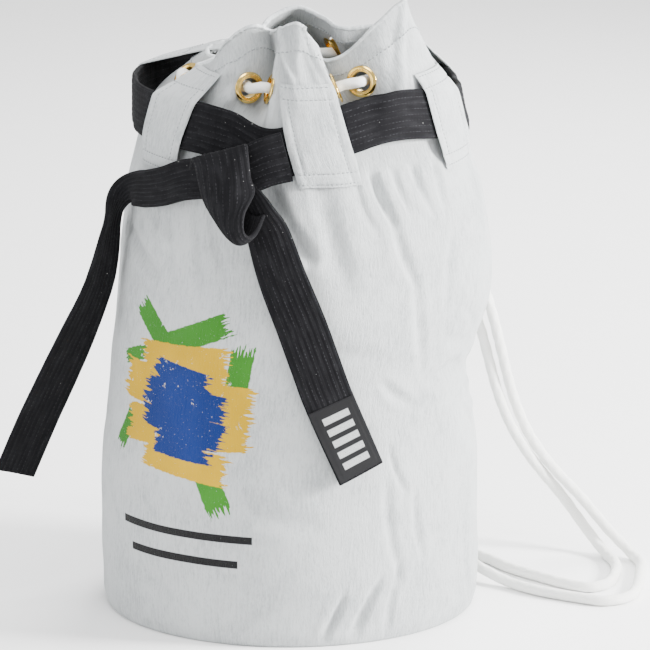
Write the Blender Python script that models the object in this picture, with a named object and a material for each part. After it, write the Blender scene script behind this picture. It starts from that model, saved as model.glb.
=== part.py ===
"""Drawstring duffel bag of heavy cotton canvas, with a stitched martial-arts belt threaded through six
loops round its neck, and one braided rope that closes the mouth and makes the two shoulder straps.

Frame: metres, +Z up. The origin is the middle of the base's underside. The bag's front faces -Y.
An angle round the bag is in degrees from the front (-Y), growing towards +X.
"""
import bpy
import bmesh
from functools import lru_cache
from math import atan2, ceil, cos, exp, pi, radians, sin
from mathutils import Matrix, Vector

# ---- driving dimensions -------------------------------------------------------------------------
GAP = 0.0004                # clear space between touching pieces
WALL = 0.0024               # canvas wall with its facing
NECK_Z = 0.405              # height where the folds begin
NECK_START_Z = 0.35         # height where the shallow folds of the neck begin
FOLD_DEPTH_AT_NECK = 0.007
FOLD_HALF_ANGLE = 24.0      # half the width of a shallow fold, in degrees of seam angle
SIDE_DENT = (122.0, 22.0, 0.19, 0.035, 0.010)   # angle and its spread, height and its spread, depth

BELT_WIDTH = 0.040
BELT_THICK = 0.0042
BELT_TO_WALL = 0.0062       # from the canvas to the middle of the hanging right end
LEAD_TO_WALL = 0.0142       # the same for the stretch from the knot to the left turn
LEAD_LEAN = 0.25            # how far that stretch leans on the neck, per unit of its width
LOOP_WIDTH = 0.050
LOOP_LENGTH = 0.080
LOOP_THICK = 0.0018
LOOP_ON_BELT_RADIUS = 0.125     # radius that turns a loop's width into an angle
LOOP_STEP = 0.003           # least height between two bends of a loop
ROPE_RADIUS = 0.0042

EYELET_RADIUS = 0.0125      # outer radius of the brass flange
EYELET_BORE = 0.0078
EYELET_BARREL = 0.0086
EYELET_HOLE = 0.0091        # hole in the canvas
WASHER_THICK = 0.0008

LABEL_LENGTH = 0.062
LABEL_THICK = 0.0009
LABEL_INSET = 0.003         # from the label to the belt's end

BASE_THICK = 0.0026
BINDING_THICK = 0.0014
BINDING_ROWS = (0.0032, 0.0145)     # height of the binding's lower and upper edge
HEM_THICK = 0.0013

TAB_WIDTH = 0.022
TAB_HEIGHT = 0.040
TAB_FOOT = 0.0012           # height of its lower end
TAB_THICK = 0.0016
TAB_BOW = 0.0128            # room behind it for the rope
TAB_BOW_SHARE = 0.62        # how much of its height bows out

COLUMNS = 72                # facets round the bag
FRONT = 38.0                # direction of the tied side: the strips and ropes are placed square to it

# Outline of the bag without its folds: height and radius.
PROFILE = [(0.0, 0.1465), (0.012, 0.1500), (0.12, 0.1505), (0.20, 0.1475), (0.27, 0.1490),
           (0.34, 0.1420), (0.375, 0.1345), (0.405, 0.1270)]
# Sideways lean of the slumped canvas, along the direction of LEAN_ANGLE: height and offset.
LEAN = [(0.0, 0.0), (0.12, 0.0), (0.20, 0.004), (0.27, 0.012), (0.34, 0.012), (0.405, 0.008), (0.52, 0.008)]
LEAN_ANGLE = FRONT + 90.0

# Folds of the mouth. A seam angle marks the same thread of canvas from the base up to the rim, and the
# folds move it round the bag. Each valley has its seam angle, its real angle and its radius at the cord.
VALLEYS = [(12.0, 19.0, 0.076), (67.0, 58.5, 0.079), (128.0, 123.0, 0.077), (188.0, 187.0, 0.075),
           (248.0, 249.0, 0.076), (311.0, 311.0, 0.075)]
# Each ridge follows the valley of the same place: seam angle, the real angles of its two shoulders, radius.
RIDGES = [(40.0, 30.0, 51.0, 0.114), (98.0, 78.0, 106.0, 0.117), (158.0, 142.0, 165.0, 0.112),
          (218.0, 209.0, 232.0, 0.109), (278.0, 266.0, 293.0, 0.104), (343.0, 324.0, 365.0, 0.107)]
# Place of the cord between the neck (0) and the rim (1), by seam angle.
CORD_LEVELS = [(-20.0, 0.53), (4.0, 0.43), (20.0, 0.46), (50.0, 0.58), (76.0, 0.635), (100.0, 0.56),
               (140.0, 0.55), (200.0, 0.55), (260.0, 0.55), (310.0, 0.55)]
SHOULDER = 0.45             # place of a shoulder's seam angle between its ridge (0) and valley (1)
# Rim of the mouth: seam angle, angle, radius and height.
RIM = [(-37.0, -34.0, 0.086, 0.447), (-17.0, -13.0, 0.090, 0.456), (-2.0, 4.0, 0.097, 0.480),
       (5.0, 15.0, 0.092, 0.491), (13.0, 21.0, 0.077, 0.484), (24.0, 28.0, 0.090, 0.491),
       (40.0, 38.0, 0.100, 0.497), (52.5, 46.0, 0.092, 0.480), (65.0, 53.0, 0.075, 0.461),
       (73.0, 63.0, 0.086, 0.467), (83.0, 76.0, 0.096, 0.490), (97.0, 91.0, 0.104, 0.508),
       (112.0, 103.0, 0.088, 0.495), (128.0, 122.0, 0.068, 0.472), (143.0, 140.0, 0.086, 0.463),
       (158.0, 155.0, 0.096, 0.461), (172.0, 169.0, 0.086, 0.459), (188.0, 187.0, 0.066, 0.456),
       (204.0, 205.0, 0.082, 0.461), (218.0, 219.0, 0.088, 0.467), (233.0, 234.0, 0.082, 0.462),
       (248.0, 249.0, 0.066, 0.453), (263.0, 264.0, 0.076, 0.449), (278.0, 280.0, 0.080, 0.447),
       (294.0, 296.0, 0.076, 0.446), (311.0, 311.0, 0.068, 0.446)]
# Belt loops: angle of the upper and of the lower end.
LOOPS = [(40.0, 48.0), (97.0, 106.0), (158.0, 158.0), (218.0, 218.0), (278.0, 278.0), (350.0, 339.0)]
LOOP_TOP_Z = 0.452
LOOP_SEWN = 0.010           # how far each end lies on the canvas

# Height of the belt's middle line round the bag: angle and height.
BELT_MIDDLE = [(0.0, 0.414), (14.0, 0.409), (27.0, 0.399), (40.0, 0.407), (56.0, 0.418), (74.0, 0.424),
               (92.0, 0.419), (112.0, 0.411), (150.0, 0.408), (200.0, 0.408), (260.0, 0.408), (330.0, 0.413)]

KNOT_ANGLE = 17.0
KNOT_Z = 0.379
KNOT_RADIUS = 0.1500
KNOT_SIZE = (0.056, 0.019, 0.066)    # along the belt, away from the bag, upwards


# ---- small tools --------------------------------------------------------------------------------
def clear_scene():
    for item in list(bpy.data.objects):
        bpy.data.objects.remove(item, do_unlink=True)


def material(name, colour, roughness, metallic=0.0):
    mat = bpy.data.materials.new(name)
    mat.use_nodes = True
    shader = mat.node_tree.nodes["Principled BSDF"]
    shader.inputs["Base Color"].default_value = (*colour, 1.0)
    shader.inputs["Roughness"].default_value = roughness
    shader.inputs["Metallic"].default_value = metallic
    return mat


def finish(bm, name, mat, smooth=True):
    """Turn a bmesh into one named object with outward faces."""
    bmesh.ops.recalc_face_normals(bm, faces=bm.faces)
    if bm.calc_volume(signed=True) < 0:
        bmesh.ops.reverse_faces(bm, faces=bm.faces)
    mesh = bpy.data.meshes.new(name)
    bm.to_mesh(mesh)
    bm.free()
    obj = bpy.data.objects.new(name, mesh)
    bpy.context.scene.collection.objects.link(obj)
    mesh.materials.append(mat)
    if smooth:
        mesh.shade_smooth()
        mesh.set_sharp_from_angle(angle=radians(40))
    return obj


def value_at(table, x):
    """Value at x of a table of (x, value), on straight lines between its rows."""
    if x <= table[0][0]:
        return table[0][1]
    for (x0, v0), (x1, v1) in zip(table, table[1:]):
        if x <= x1:
            t = (x - x0) / (x1 - x0)
            return v0 + (v1 - v0) * t
    return table[-1][1]


def catmull(p0, p1, p2, p3, t):
    return 0.5 * (2 * p1 + (p2 - p0) * t + (2 * p0 - 5 * p1 + 4 * p2 - p3) * t * t
                  + (3 * p1 - p0 - 3 * p2 + p3) * t ** 3)


def round_table(table, angle):
    """Values of a closed table of (angle, value, ...) at an angle, on a smooth curve."""
    n = len(table)
    turn = (angle - table[0][0]) % 360.0 + table[0][0]
    starts = [row[0] for row in table] + [table[0][0] + 360.0]
    i = max(k for k in range(n) if starts[k] <= turn)
    t = (turn - starts[i]) / (starts[i + 1] - starts[i])
    rows = [table[(i + k) % n] for k in (-1, 0, 1, 2)]
    return [catmull(rows[0][k], rows[1][k], rows[2][k], rows[3][k], t) for k in range(1, len(table[0]))]


def turn_between(a, b):
    """Signed difference of two angles in degrees, within half a turn."""
    return (a - b + 180.0) % 360.0 - 180.0


def polar(angle, radius, z):
    """A point by its angle and distance from the leaning middle line of the bag."""
    a = radians(angle)
    lean = value_at(LEAN, z)
    side = radians(LEAN_ANGLE)
    return Vector((radius * sin(a) + lean * sin(side), -radius * cos(a) - lean * cos(side), z))


def beside(right, away, z):
    """A point by its distance to the right of the base's centre and away from the tied side."""
    f = radians(FRONT)
    return Vector((right * cos(f) - away * sin(f), right * sin(f) + away * cos(f), z))


# ---- the bag's surface --------------------------------------------------------------------------
def cord_ring():
    """The mouth at the cord's height: rows of seam angle, angle and radius, and the eyelets' rows."""
    rows, eyelets = [], []
    for i, (seam, first, last, radius) in enumerate(RIDGES):
        before, after = VALLEYS[i], VALLEYS[(i + 1) % len(VALLEYS)]
        after_seam, after_angle = (after[0] + 360.0, after[1] + 360.0) if after[0] < before[0] else after[:2]
        start = seam + SHOULDER * (before[0] - seam)
        stop = seam + SHOULDER * (after_seam - seam)
        up = ((start + before[0]) / 2, (first + before[1]) / 2, (radius + before[2]) / 2)
        down = ((stop + after_seam) / 2, (last + after_angle) / 2, (radius + after[2]) / 2)
        rows += [before, up, (start, first, radius - 0.002), (seam, (first + last) / 2, radius),
                 (stop, last, radius - 0.002), down]
        eyelets += [up[0], down[0]]
    return rows, eyelets


CORD_RING, EYELET_SEAMS = cord_ring()


def valley_depth(seam):
    """1 in a valley and 0 on a ridge, for the shallow folds at the neck."""
    nearest = min(abs(turn_between(seam, valley[0])) for valley in VALLEYS)
    return 0.5 * (1 + cos(pi * min(nearest, FOLD_HALF_ANGLE) / FOLD_HALF_ANGLE))


def side_dent(angle, z):
    """The hollow on the right side where the empty canvas buckles."""
    middle, spread, middle_z, spread_z, depth = SIDE_DENT
    return depth * exp(-(turn_between(angle, middle) / spread) ** 2 - ((z - middle_z) / spread_z) ** 2)


def turned_table(table, seam):
    """Values of a closed table at a seam angle, with its angles counted on from the seam angle."""
    shifted = [(row[0], row[1] - row[0], *row[2:]) for row in table]
    values = round_table(shifted, seam)
    return [seam + values[0], *values[1:]]


@lru_cache(maxsize=None)
def cord_level(seam):
    """Place of the cord between the neck (0) and the rim (1): lower at the front fold, higher beside it."""
    return round_table(CORD_LEVELS, seam)[0]


@lru_cache(maxsize=None)
def wall_polar(seam, v):
    """Angle, radius and height of the outer face. v is the height in metres up to the neck, and above
    it the neck's height plus a tenth of the way to the rim."""
    neck_r = value_at(PROFILE, min(v, NECK_Z))
    grow = max(0.0, (min(v, NECK_Z) - NECK_START_Z) / (NECK_Z - NECK_START_Z))
    neck_r -= FOLD_DEPTH_AT_NECK * grow * valley_depth(seam) + side_dent(seam, v)
    if v <= NECK_Z:
        return seam, neck_r, v
    t = (v - NECK_Z) * 10.0
    cord_a, cord_r = turned_table(CORD_RING, seam)
    rim_a, rim_r, rim_z = turned_table(RIM, seam)
    c = cord_level(seam)
    weights = ((t - c) * (t - 1) / c, t * (t - 1) / (c * (c - 1)), t * (t - c) / (1 - c))
    angle = weights[0] * seam + weights[1] * cord_a + weights[2] * rim_a
    radius = weights[0] * neck_r + weights[1] * cord_r + weights[2] * rim_r
    return angle, radius, NECK_Z + t * (rim_z - NECK_Z)


def wall_point(seam, v):
    return polar(*wall_polar(seam, v))


def wall_normal(seam, v):
    """Outward normal of the outer face."""
    around = wall_point(seam + 0.8, v) - wall_point(seam - 0.8, v)
    up = wall_point(seam, v + 0.0008) - wall_point(seam, max(v - 0.0008, 0.0))
    return around.cross(up).normalized()


@lru_cache(maxsize=None)
def outline_at(z):
    """The outer face's outline at a height: angle and radius of many points."""
    outline = []
    for i in range(2 * COLUMNS):
        seam = 180.0 * i / COLUMNS
        rim_z = turned_table(RIM, seam)[2]
        v = z if z <= NECK_Z else NECK_Z + 0.1 * min(1.0, (z - NECK_Z) / (rim_z - NECK_Z))
        outline.append(wall_polar(seam, v)[:2])
    return outline


def hull_radius(angle, z, reach=15.0):
    """Radius of a band stretched over the folds."""
    z = round(z, 5)
    near = [r for a, r in outline_at(z) if abs(turn_between(a, angle)) <= reach]
    return max(near)


def grid_solid(outer, inner, name, mat, closed_round, smooth=True):
    """Closed skin between two grids of points. The first index runs round the bag."""
    bm = bmesh.new()
    n, m = len(outer), len(outer[0])
    rings = [[[bm.verts.new(p) for p in column] for column in grid] for grid in (outer, inner)]
    last = n if closed_round else n - 1
    for i in range(last):
        j = (i + 1) % n
        for k in range(m - 1):
            for grid in rings:
                bm.faces.new((grid[i][k], grid[j][k], grid[j][k + 1], grid[i][k + 1]))
        for k in (0, m - 1):
            bm.faces.new((rings[0][i][k], rings[0][j][k], rings[1][j][k], rings[1][i][k]))
    if not closed_round:
        for i in (0, n - 1):
            for k in range(m - 1):
                bm.faces.new((rings[0][i][k], rings[0][i][k + 1], rings[1][i][k + 1], rings[1][i][k]))
    return finish(bm, name, mat, smooth)


ANGLES = [360.0 * i / COLUMNS for i in range(COLUMNS)]
WALL_ROWS = [0.0, 0.006, 0.020, 0.07, 0.13, 0.17, 0.21, 0.25, 0.30, 0.34, 0.375, NECK_Z] + [
    NECK_Z + 0.1 * t for t in (0.22, 0.42, 0.58, 0.74, 0.88, 1.0)]


def make_wall(mat):
    """The canvas tube from the foot to the rim, as one skin of even thickness."""
    outer = [[wall_point(a, v) for v in WALL_ROWS] for a in ANGLES]
    inner = [[wall_point(a, v) - WALL * flat(wall_normal(a, v), v) for v in WALL_ROWS] for a in ANGLES]
    return grid_solid(outer, inner, "bag_wall", mat, closed_round=True)


def flat(normal, v):
    """At the foot the wall's edge stays level."""
    if v > 0.0:
        return normal
    return Vector((normal.x, normal.y, 0.0)).normalized()


def make_base(canvas, tape):
    """The round base inside the wall's foot, and the tape that binds their seam on the inside."""
    foot = PROFILE[0][1] - WALL - GAP
    disc = bmesh.new()
    place = Matrix.Translation((0, 0, BASE_THICK / 2)) @ Matrix.Rotation(radians(-90), 4, "Z")
    bmesh.ops.create_cone(disc, cap_ends=True, segments=COLUMNS, radius1=foot, radius2=foot + 0.0004,
                          depth=BASE_THICK, matrix=place)
    finish(disc, "bag_base", canvas, smooth=False)
    near = WALL + 2 * GAP
    far = near + BINDING_THICK
    outer = [[polar(a, value_at(PROFILE, z) - near, z) for z in BINDING_ROWS] for a in ANGLES[::2]]
    inner = [[polar(a, value_at(PROFILE, z) - far, z) for z in BINDING_ROWS] for a in ANGLES[::2]]
    grid_solid(outer, inner, "base_binding", tape, closed_round=True)


def make_hem(mat):
    """The turned-in canvas inside the rim."""
    rows = [NECK_Z + 0.1 * t for t in (0.82, 0.97)]
    near = WALL + 4 * GAP
    far = near + HEM_THICK
    outer = [[wall_point(a, v) - near * wall_normal(a, v) for v in rows] for a in ANGLES]
    inner = [[wall_point(a, v) - far * wall_normal(a, v) for v in rows] for a in ANGLES]
    grid_solid(outer, inner, "mouth_hem", mat, closed_round=True)


# ---- belt ---------------------------------------------------------------------------------------
def belt_mid(angle):
    """Height of the belt's middle line."""
    return round_table(BELT_MIDDLE, angle)[0]


@lru_cache(maxsize=None)
def belt_edges(angle):
    """Radius and height of the belt's inner face at its lower and upper edge. It stands straight across,
    clear of the canvas, and leans inwards on the right."""
    low_z, high_z = belt_mid(angle) - BELT_WIDTH / 2, belt_mid(angle) + BELT_WIDTH / 2
    low = hull_radius(angle, low_z) + 2 * GAP
    slope = -0.22 - 0.22 * cos(radians(angle - 98.0))
    for k in range(2, 11):
        z = low_z + (high_z - low_z) * k / 10
        slope = max(slope, (hull_radius(angle, z) + 2 * GAP - low) / (z - low_z))
    return low, low_z, low + slope * (high_z - low_z), high_z


def make_belt_wrap(mat):
    """The turn of the belt round the neck."""
    outer, inner = [], []
    for a in ANGLES:
        low, low_z, high, high_z = belt_edges(a)
        inner.append([polar(a, low, low_z), polar(a, high, high_z)])
        outer.append([polar(a, low + BELT_THICK, low_z), polar(a, high + BELT_THICK, high_z)])
    grid_solid(outer, inner, "belt_wrap", mat, closed_round=True, smooth=False)


def loop_profile(angle):
    """Inner face of a loop from its top to its bottom: radius and height of the points it bends at. It
    loses a little of its length to the way over the belt."""
    low, low_z, high, high_z = belt_edges(angle)
    bottom_z = LOOP_TOP_Z - LOOP_LENGTH * 0.93
    clear = BELT_THICK + 3 * GAP
    on_wall = [(hull_radius(angle, z) + 4 * GAP, z) for z in
               (LOOP_TOP_Z, LOOP_TOP_Z - LOOP_SEWN, bottom_z + LOOP_SEWN * 0.6, bottom_z)]
    over = [(high + clear, high_z + 0.0015), (low + clear, low_z - 0.0005)]
    return [on_wall[0], on_wall[1], *over, on_wall[2], on_wall[3]]


def make_loop(index, upper, lower, mat):
    """A sewn strip that lies on the canvas at its ends and bridges the belt between them. One profile
    serves its whole width: the outermost of those across it, its bends in order from top to bottom."""
    outer, inner = [], []
    columns = 6
    width = LOOP_WIDTH / LOOP_ON_BELT_RADIUS * 180 / pi
    spread = [(i / columns - 0.5) * width for i in range(columns + 1)]
    profiles = [loop_profile((upper + lower) / 2 + across) for across in spread[::2]]
    profile = [(max(p[k][0] for p in profiles), max(p[k][1] for p in profiles)) for k in range(3)]
    profile += [(max(p[k][0] for p in profiles), min(p[k][1] for p in profiles)) for k in range(3, 6)]
    rise = max(0.0, profile[2][1] + LOOP_STEP - profile[1][1])
    profile[:2] = [(radius, z + rise) for radius, z in profile[:2]]
    drop = max(0.0, profile[4][1] + LOOP_STEP - profile[3][1])
    profile[4:] = [(radius, z - drop) for radius, z in profile[4:]]
    for across in spread:
        column_out, column_in = [], []
        for radius, z in profile:
            t = (LOOP_TOP_Z - z) / LOOP_LENGTH
            angle = upper + (lower - upper) * t + across
            column_in.append(polar(angle, radius, z))
            column_out.append(polar(angle, radius + LOOP_THICK, z))
        inner.append(column_in)
        outer.append(column_out)
    grid_solid(outer, inner, f"belt_loop_{index}", mat, closed_round=False)


def make_knot(mat):
    """The tied lump: a cushioned block on the belt, tilted with the neck's slope."""
    a = radians(KNOT_ANGLE)
    out = Vector((sin(a), -cos(a), 0.30)).normalized()
    along = Vector((cos(a), sin(a), 0.0))
    up = along.cross(-out)
    mid = polar(KNOT_ANGLE, KNOT_RADIUS, KNOT_Z)
    bm = bmesh.new()
    bmesh.ops.create_cube(bm, size=1.0)
    bmesh.ops.subdivide_edges(bm, edges=bm.edges, cuts=3, use_grid_fill=True)
    for vert in bm.verts:
        p = vert.co * 2.0
        reach = (abs(p.x) ** 4 + abs(p.y) ** 4 + abs(p.z) ** 4) ** 0.25
        p = p / reach * 0.5
        vert.co = mid + along * p.x * KNOT_SIZE[0] + out * p.y * KNOT_SIZE[1] + up * p.z * KNOT_SIZE[2]
    finish(bm, "belt_knot", mat)


def hang(obj, place):
    """Put a moving piece's origin on its joint's axis, and leave its shape where it is."""
    obj.data.transform(Matrix.Translation(-place))
    obj.location = place


def ribbon(points, widths, name, mat, thick=BELT_THICK, width=BELT_WIDTH):
    """A flat strip: points on its middle line and, at each, the direction of its width."""
    outer, inner = [], []
    n = len(points)
    for i, (point, across) in enumerate(zip(points, widths)):
        ahead = points[min(i + 1, n - 1)] - points[max(i - 1, 0)]
        across = (across - across.project(ahead)).normalized()
        normal = ahead.cross(across).normalized()
        sides = [point + across * width * s for s in (-0.5, 0.0, 0.5)]
        outer.append([p + normal * thick / 2 for p in sides])
        inner.append([p - normal * thick / 2 for p in sides])
    return grid_solid(outer, inner, name, mat, closed_round=False, smooth=False)


# The left end leaves the knot along the neck, turns down beside the bag and stands away from it. Its
# middle line lies in an upright plane square to FRONT: distance to the right, height, and the turn of its
# width from that plane.
LEFT_AWAY = -0.036
LEFT_HINGE = beside(-0.1375, LEFT_AWAY, 0.331)
LEFT_TAIL = [(-0.1375, 0.327, 90.0), (-0.1425, 0.300, 74.0), (-0.1520, 0.270, 55.0), (-0.1660, 0.235, 42.0),
             (-0.1840, 0.195, 36.0), (-0.2010, 0.158, 34.0), (-0.2200, 0.113, 34.0)]
# Middle lines against the bag: angle and height.
LEFT_LEAD = [(-2.0, 0.374), (-10.0, 0.366), (-18.0, 0.360), (-25.0, 0.356), (-32.0, 0.353)]
RIGHT_HINGE = polar(26.5, 0.1483, 0.343)
RIGHT_TAIL = [(26.5, 0.3410), (31.0, 0.305), (37.0, 0.267), (43.0, 0.232), (48.2, 0.203), (59.0, 0.143)]


def make_left_lead(mat):
    """The stretch from the knot to the turn: it leans on the neck, its lower edge standing off."""
    points, widths = [], []
    for angle, z in LEFT_LEAD:
        a = radians(angle)
        out = Vector((sin(a), -cos(a), 0.0))
        points.append(polar(angle, value_at(PROFILE, z) + LEAD_TO_WALL, z))
        widths.append(Vector((0, 0, 1)) - out * LEAD_LEAN)
    ribbon(points, widths, "belt_lead_left", mat)


def make_left_tail(mat):
    """The free left end, from the turn down."""
    points, widths = [], []
    for right, z, turn in LEFT_TAIL:
        points.append(beside(right, LEFT_AWAY, z))
        t = radians(turn)
        widths.append(beside(cos(t), sin(t), 0.0))
    hang(ribbon(points, widths, "belt_tail_left", mat), LEFT_HINGE)


def make_right_tail(mat, label):
    """The hanging end in front, and the label sewn to its last stretch."""
    points = [polar(angle, value_at(PROFILE, z) + BELT_TO_WALL, z) for angle, z in RIGHT_TAIL]
    widths = [Vector((cos(radians(angle)), sin(radians(angle)), 0.0)) for angle, _ in RIGHT_TAIL]
    hang(ribbon(points, widths, "belt_tail_right", mat), RIGHT_HINGE)
    last = points[-1] - points[-2]
    out = last.cross(widths[-1]).normalized()
    if out.dot(points[-1]) < 0:
        out = -out
    lift = out * (BELT_THICK / 2 + LABEL_THICK / 2 + 2 * GAP)
    shares = (1 - (LABEL_LENGTH + LABEL_INSET) / last.length, 1 - LABEL_INSET / last.length)
    rows = [points[-2] + last * share + lift for share in shares]
    sides = [widths[-2].lerp(widths[-1], share) for share in shares]
    hang(ribbon(rows, sides, "belt_label", label, LABEL_THICK, BELT_WIDTH - 0.001), RIGHT_HINGE)


# ---- eyelets ------------------------------------------------------------------------------------
def turned(profile, segments, place, name, mat):
    """A ring turned about the local Z axis from a closed profile of (radius, height)."""
    bm = bmesh.new()
    rings = []
    for s in range(segments):
        a = 2 * pi * s / segments
        rings.append([bm.verts.new(place @ Vector((r * cos(a), r * sin(a), h))) for r, h in profile])
    for s in range(segments):
        near, far = rings[s], rings[(s + 1) % segments]
        for k in range(len(profile)):
            j = (k + 1) % len(profile)
            bm.faces.new((near[k], far[k], far[j], near[j]))
    return finish(bm, name, mat)


def eyelet_places():
    """Seam angle, centre on the outer face and outward normal of each eyelet: one on either flank of
    every ridge."""
    places = [(seam, NECK_Z + 0.1 * cord_level(seam)) for seam in EYELET_SEAMS]
    return [(seam, wall_point(seam, v), wall_normal(seam, v)) for seam, v in places]


def face_reach(seam, centre, normal, depth):
    """How far the skin at a depth rises above an eyelet's tangent plane, and falls below it."""
    heights = []
    for i in range(-14, 15):
        for k in range(-9, 10):
            a, v = seam + i * 0.8, NECK_Z + 0.1 * cord_level(seam) + k * 0.0028
            p = wall_point(a, v) - depth * wall_normal(a, v) - centre
            height = p.dot(normal)
            if (p - height * normal).length < EYELET_RADIUS + 0.001 and abs(height) < 0.008:
                heights.append(height)
    return max(heights), min(heights)


def make_eyelets(brass):
    """Cut the canvas and set an eyelet from outside with a washer under it."""
    cutter = bmesh.new()
    for index, (seam, centre, normal) in enumerate(eyelet_places(), 1):
        turn = normal.to_track_quat("Z", "Y").to_matrix().to_4x4()
        top = face_reach(seam, centre, normal, 0.0)[0] + GAP * 1.5
        bottom = face_reach(seam, centre, normal, WALL)[1] - GAP * 3
        bmesh.ops.create_cone(cutter, cap_ends=True, segments=14, radius1=EYELET_HOLE, radius2=EYELET_HOLE,
                              depth=0.016, matrix=Matrix.Translation(centre) @ turn)
        foot = bottom - top - WASHER_THICK - 0.0004
        profile = [(EYELET_BORE, foot), (EYELET_BARREL, foot), (EYELET_BARREL, 0.0), (EYELET_RADIUS, 0.0),
                   (EYELET_RADIUS - 0.0006, 0.0010), (EYELET_BARREL + 0.0006, 0.0016), (EYELET_BORE, 0.0007)]
        place = Matrix.Translation(centre + normal * top) @ turn
        turned(profile, 14, place, f"eyelet_{index:02d}", brass)
        ring = [(EYELET_HOLE, -WASHER_THICK), (EYELET_RADIUS, -WASHER_THICK), (EYELET_RADIUS, 0.0),
                (EYELET_HOLE, 0.0)]
        seat = Matrix.Translation(centre + normal * bottom) @ turn
        turned(ring, 14, seat, f"eyelet_washer_{index:02d}", brass)
    mesh = bpy.data.meshes.new("eyelet_cutter")
    cutter.to_mesh(mesh)
    cutter.free()
    tool = bpy.data.objects.new("eyelet_cutter", mesh)
    bpy.context.scene.collection.objects.link(tool)
    tool.hide_render = True
    tool.display_type = "WIRE"
    cut = bpy.data.objects["bag_wall"].modifiers.new("eyelet_holes", "BOOLEAN")
    cut.object = tool
    cut.operation = "DIFFERENCE"
    cut.solver = "EXACT"


# ---- rope ---------------------------------------------------------------------------------------
def smooth_route(points, step):
    """Points at an even distance along a smooth curve through the given ones."""
    pts = [points[0] * 2 - points[1], *points, points[-1] * 2 - points[-2]]
    fine = []
    for i in range(1, len(pts) - 2):
        for k in range(24):
            fine.append(catmull(pts[i - 1], pts[i], pts[i + 1], pts[i + 2], k / 24))
    fine.append(pts[-2])
    length = sum((b - a).length for a, b in zip(fine, fine[1:]))
    count = ceil(length / step)
    out, walked, target = [fine[0]], 0.0, length / count
    for a, b in zip(fine, fine[1:]):
        leg = (b - a).length
        while walked + leg >= target * len(out) and len(out) < count:
            out.append(a.lerp(b, (target * len(out) - walked) / leg))
        walked += leg
    out.append(fine[-1])
    return out


def make_rope(route, name, mat):
    """A round rope through the points of a route."""
    curve = bpy.data.curves.new(name, "CURVE")
    curve.dimensions = "3D"
    curve.bevel_depth = ROPE_RADIUS
    curve.bevel_resolution = 2
    curve.use_fill_caps = True
    spline = curve.splines.new("POLY")
    spline.points.add(len(route) - 1)
    for point, place in zip(spline.points, route):
        point.co = (*place, 1.0)
    obj = bpy.data.objects.new(name, curve)
    bpy.context.scene.collection.objects.link(obj)
    curve.materials.append(mat)
    return obj


DRAWCORD_STEP = 0.0088       # spacing of the rope's points in the mouth, where it bends often
STRAP_STEP = 0.018
ROPE_STRAIGHT = 0.008        # how far the rope runs straight on either side of an eyelet
BACK_VALLEY = 3              # the valley where both ends leave the mouth


def drawcord_route():
    """In and out of the eyelets: outside across each valley, inside behind each ridge."""
    places = eyelet_places()
    order = [(2 * BACK_VALLEY + k) % len(places) for k in range(len(places))]
    mids = [places[i][1] - places[i][2] * WALL / 2 for i in order]
    route = []
    for k, index in enumerate(order):
        normal = places[index][2]
        gaps = [(mids[k] - mids[j]).length / 3 for j in (k - 1, k + 1) if 0 <= j < len(mids)]
        straight = min(ROPE_STRAIGHT, *gaps)
        passage = [mids[k] + normal * straight, mids[k], mids[k] - normal * straight]
        route += passage if k % 2 == 0 else passage[::-1]
    return route


def strap_start(index):
    """Where a strap carries on from the drawcord's end, and the way it points there."""
    seam, centre, normal = eyelet_places()[index]
    return centre - normal * WALL / 2 + normal * (ROPE_STRAIGHT + 0.0010), normal


# Each strap's own points, as distances to the right of the base's centre, away from the tied side, and up.
STRAP_RIGHT = [(0.073, 0.094, 0.438), (0.079, 0.110, 0.434), (0.086, 0.124, 0.410), (0.092, 0.129, 0.378),
               (0.106, 0.130, 0.338), (0.128, 0.126, 0.290), (0.159, 0.120, 0.218), (0.182, 0.138, 0.126),
               (0.204, 0.139, 0.081), (0.238, 0.130, 0.044), (0.258, 0.120, 0.022), (0.277, 0.105, 0.0055),
               (0.284, 0.080, 0.0046), (0.283, 0.054, 0.0046), (0.279, 0.008, 0.0046), (0.271, -0.018, 0.0046),
               (0.252, -0.029, 0.0046), (0.228, -0.018, 0.0046), (0.200, 0.000, 0.0046), (0.178, 0.021, 0.005),
               (0.161, 0.036, 0.009), (0.1485, 0.054, 0.0115), (0.1382, 0.0741, 0.012), (0.1274, 0.0943, 0.012)]
STRAP_LEFT = [(0.053, 0.098, 0.440), (0.059, 0.115, 0.438), (0.063, 0.130, 0.427), (0.066, 0.138, 0.405),
              (0.070, 0.142, 0.378), (0.082, 0.143, 0.338), (0.108, 0.141, 0.288), (0.145, 0.131, 0.218),
              (0.170, 0.136, 0.128), (0.191, 0.138, 0.084), (0.222, 0.137, 0.044), (0.242, 0.128, 0.018),
              (0.256, 0.108, 0.0048), (0.263, 0.082, 0.0046), (0.263, 0.054, 0.0046), (0.256, 0.022, 0.0046),
              (0.241, 0.010, 0.0046), (0.222, 0.020, 0.0046), (0.203, 0.039, 0.0046), (0.178, 0.066, 0.0046),
              (0.158, 0.097, 0.0046), (0.136, 0.119, 0.0046), (0.106, 0.133, 0.006), (0.080, 0.141, 0.010),
              (0.0617, 0.1454, 0.012), (0.0406, 0.1515, 0.012), (0.0179, 0.1575, 0.012)]
# Each stopper knot: its middle, and the end of the rope that it ties.
STOPPER_RIGHT = ((0.12287, 0.10681, 0.0125), (0.1274, 0.0943, 0.012))
STOPPER_LEFT = ((0.0057, 0.1627, 0.0125), (0.0179, 0.1575, 0.012))


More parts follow.
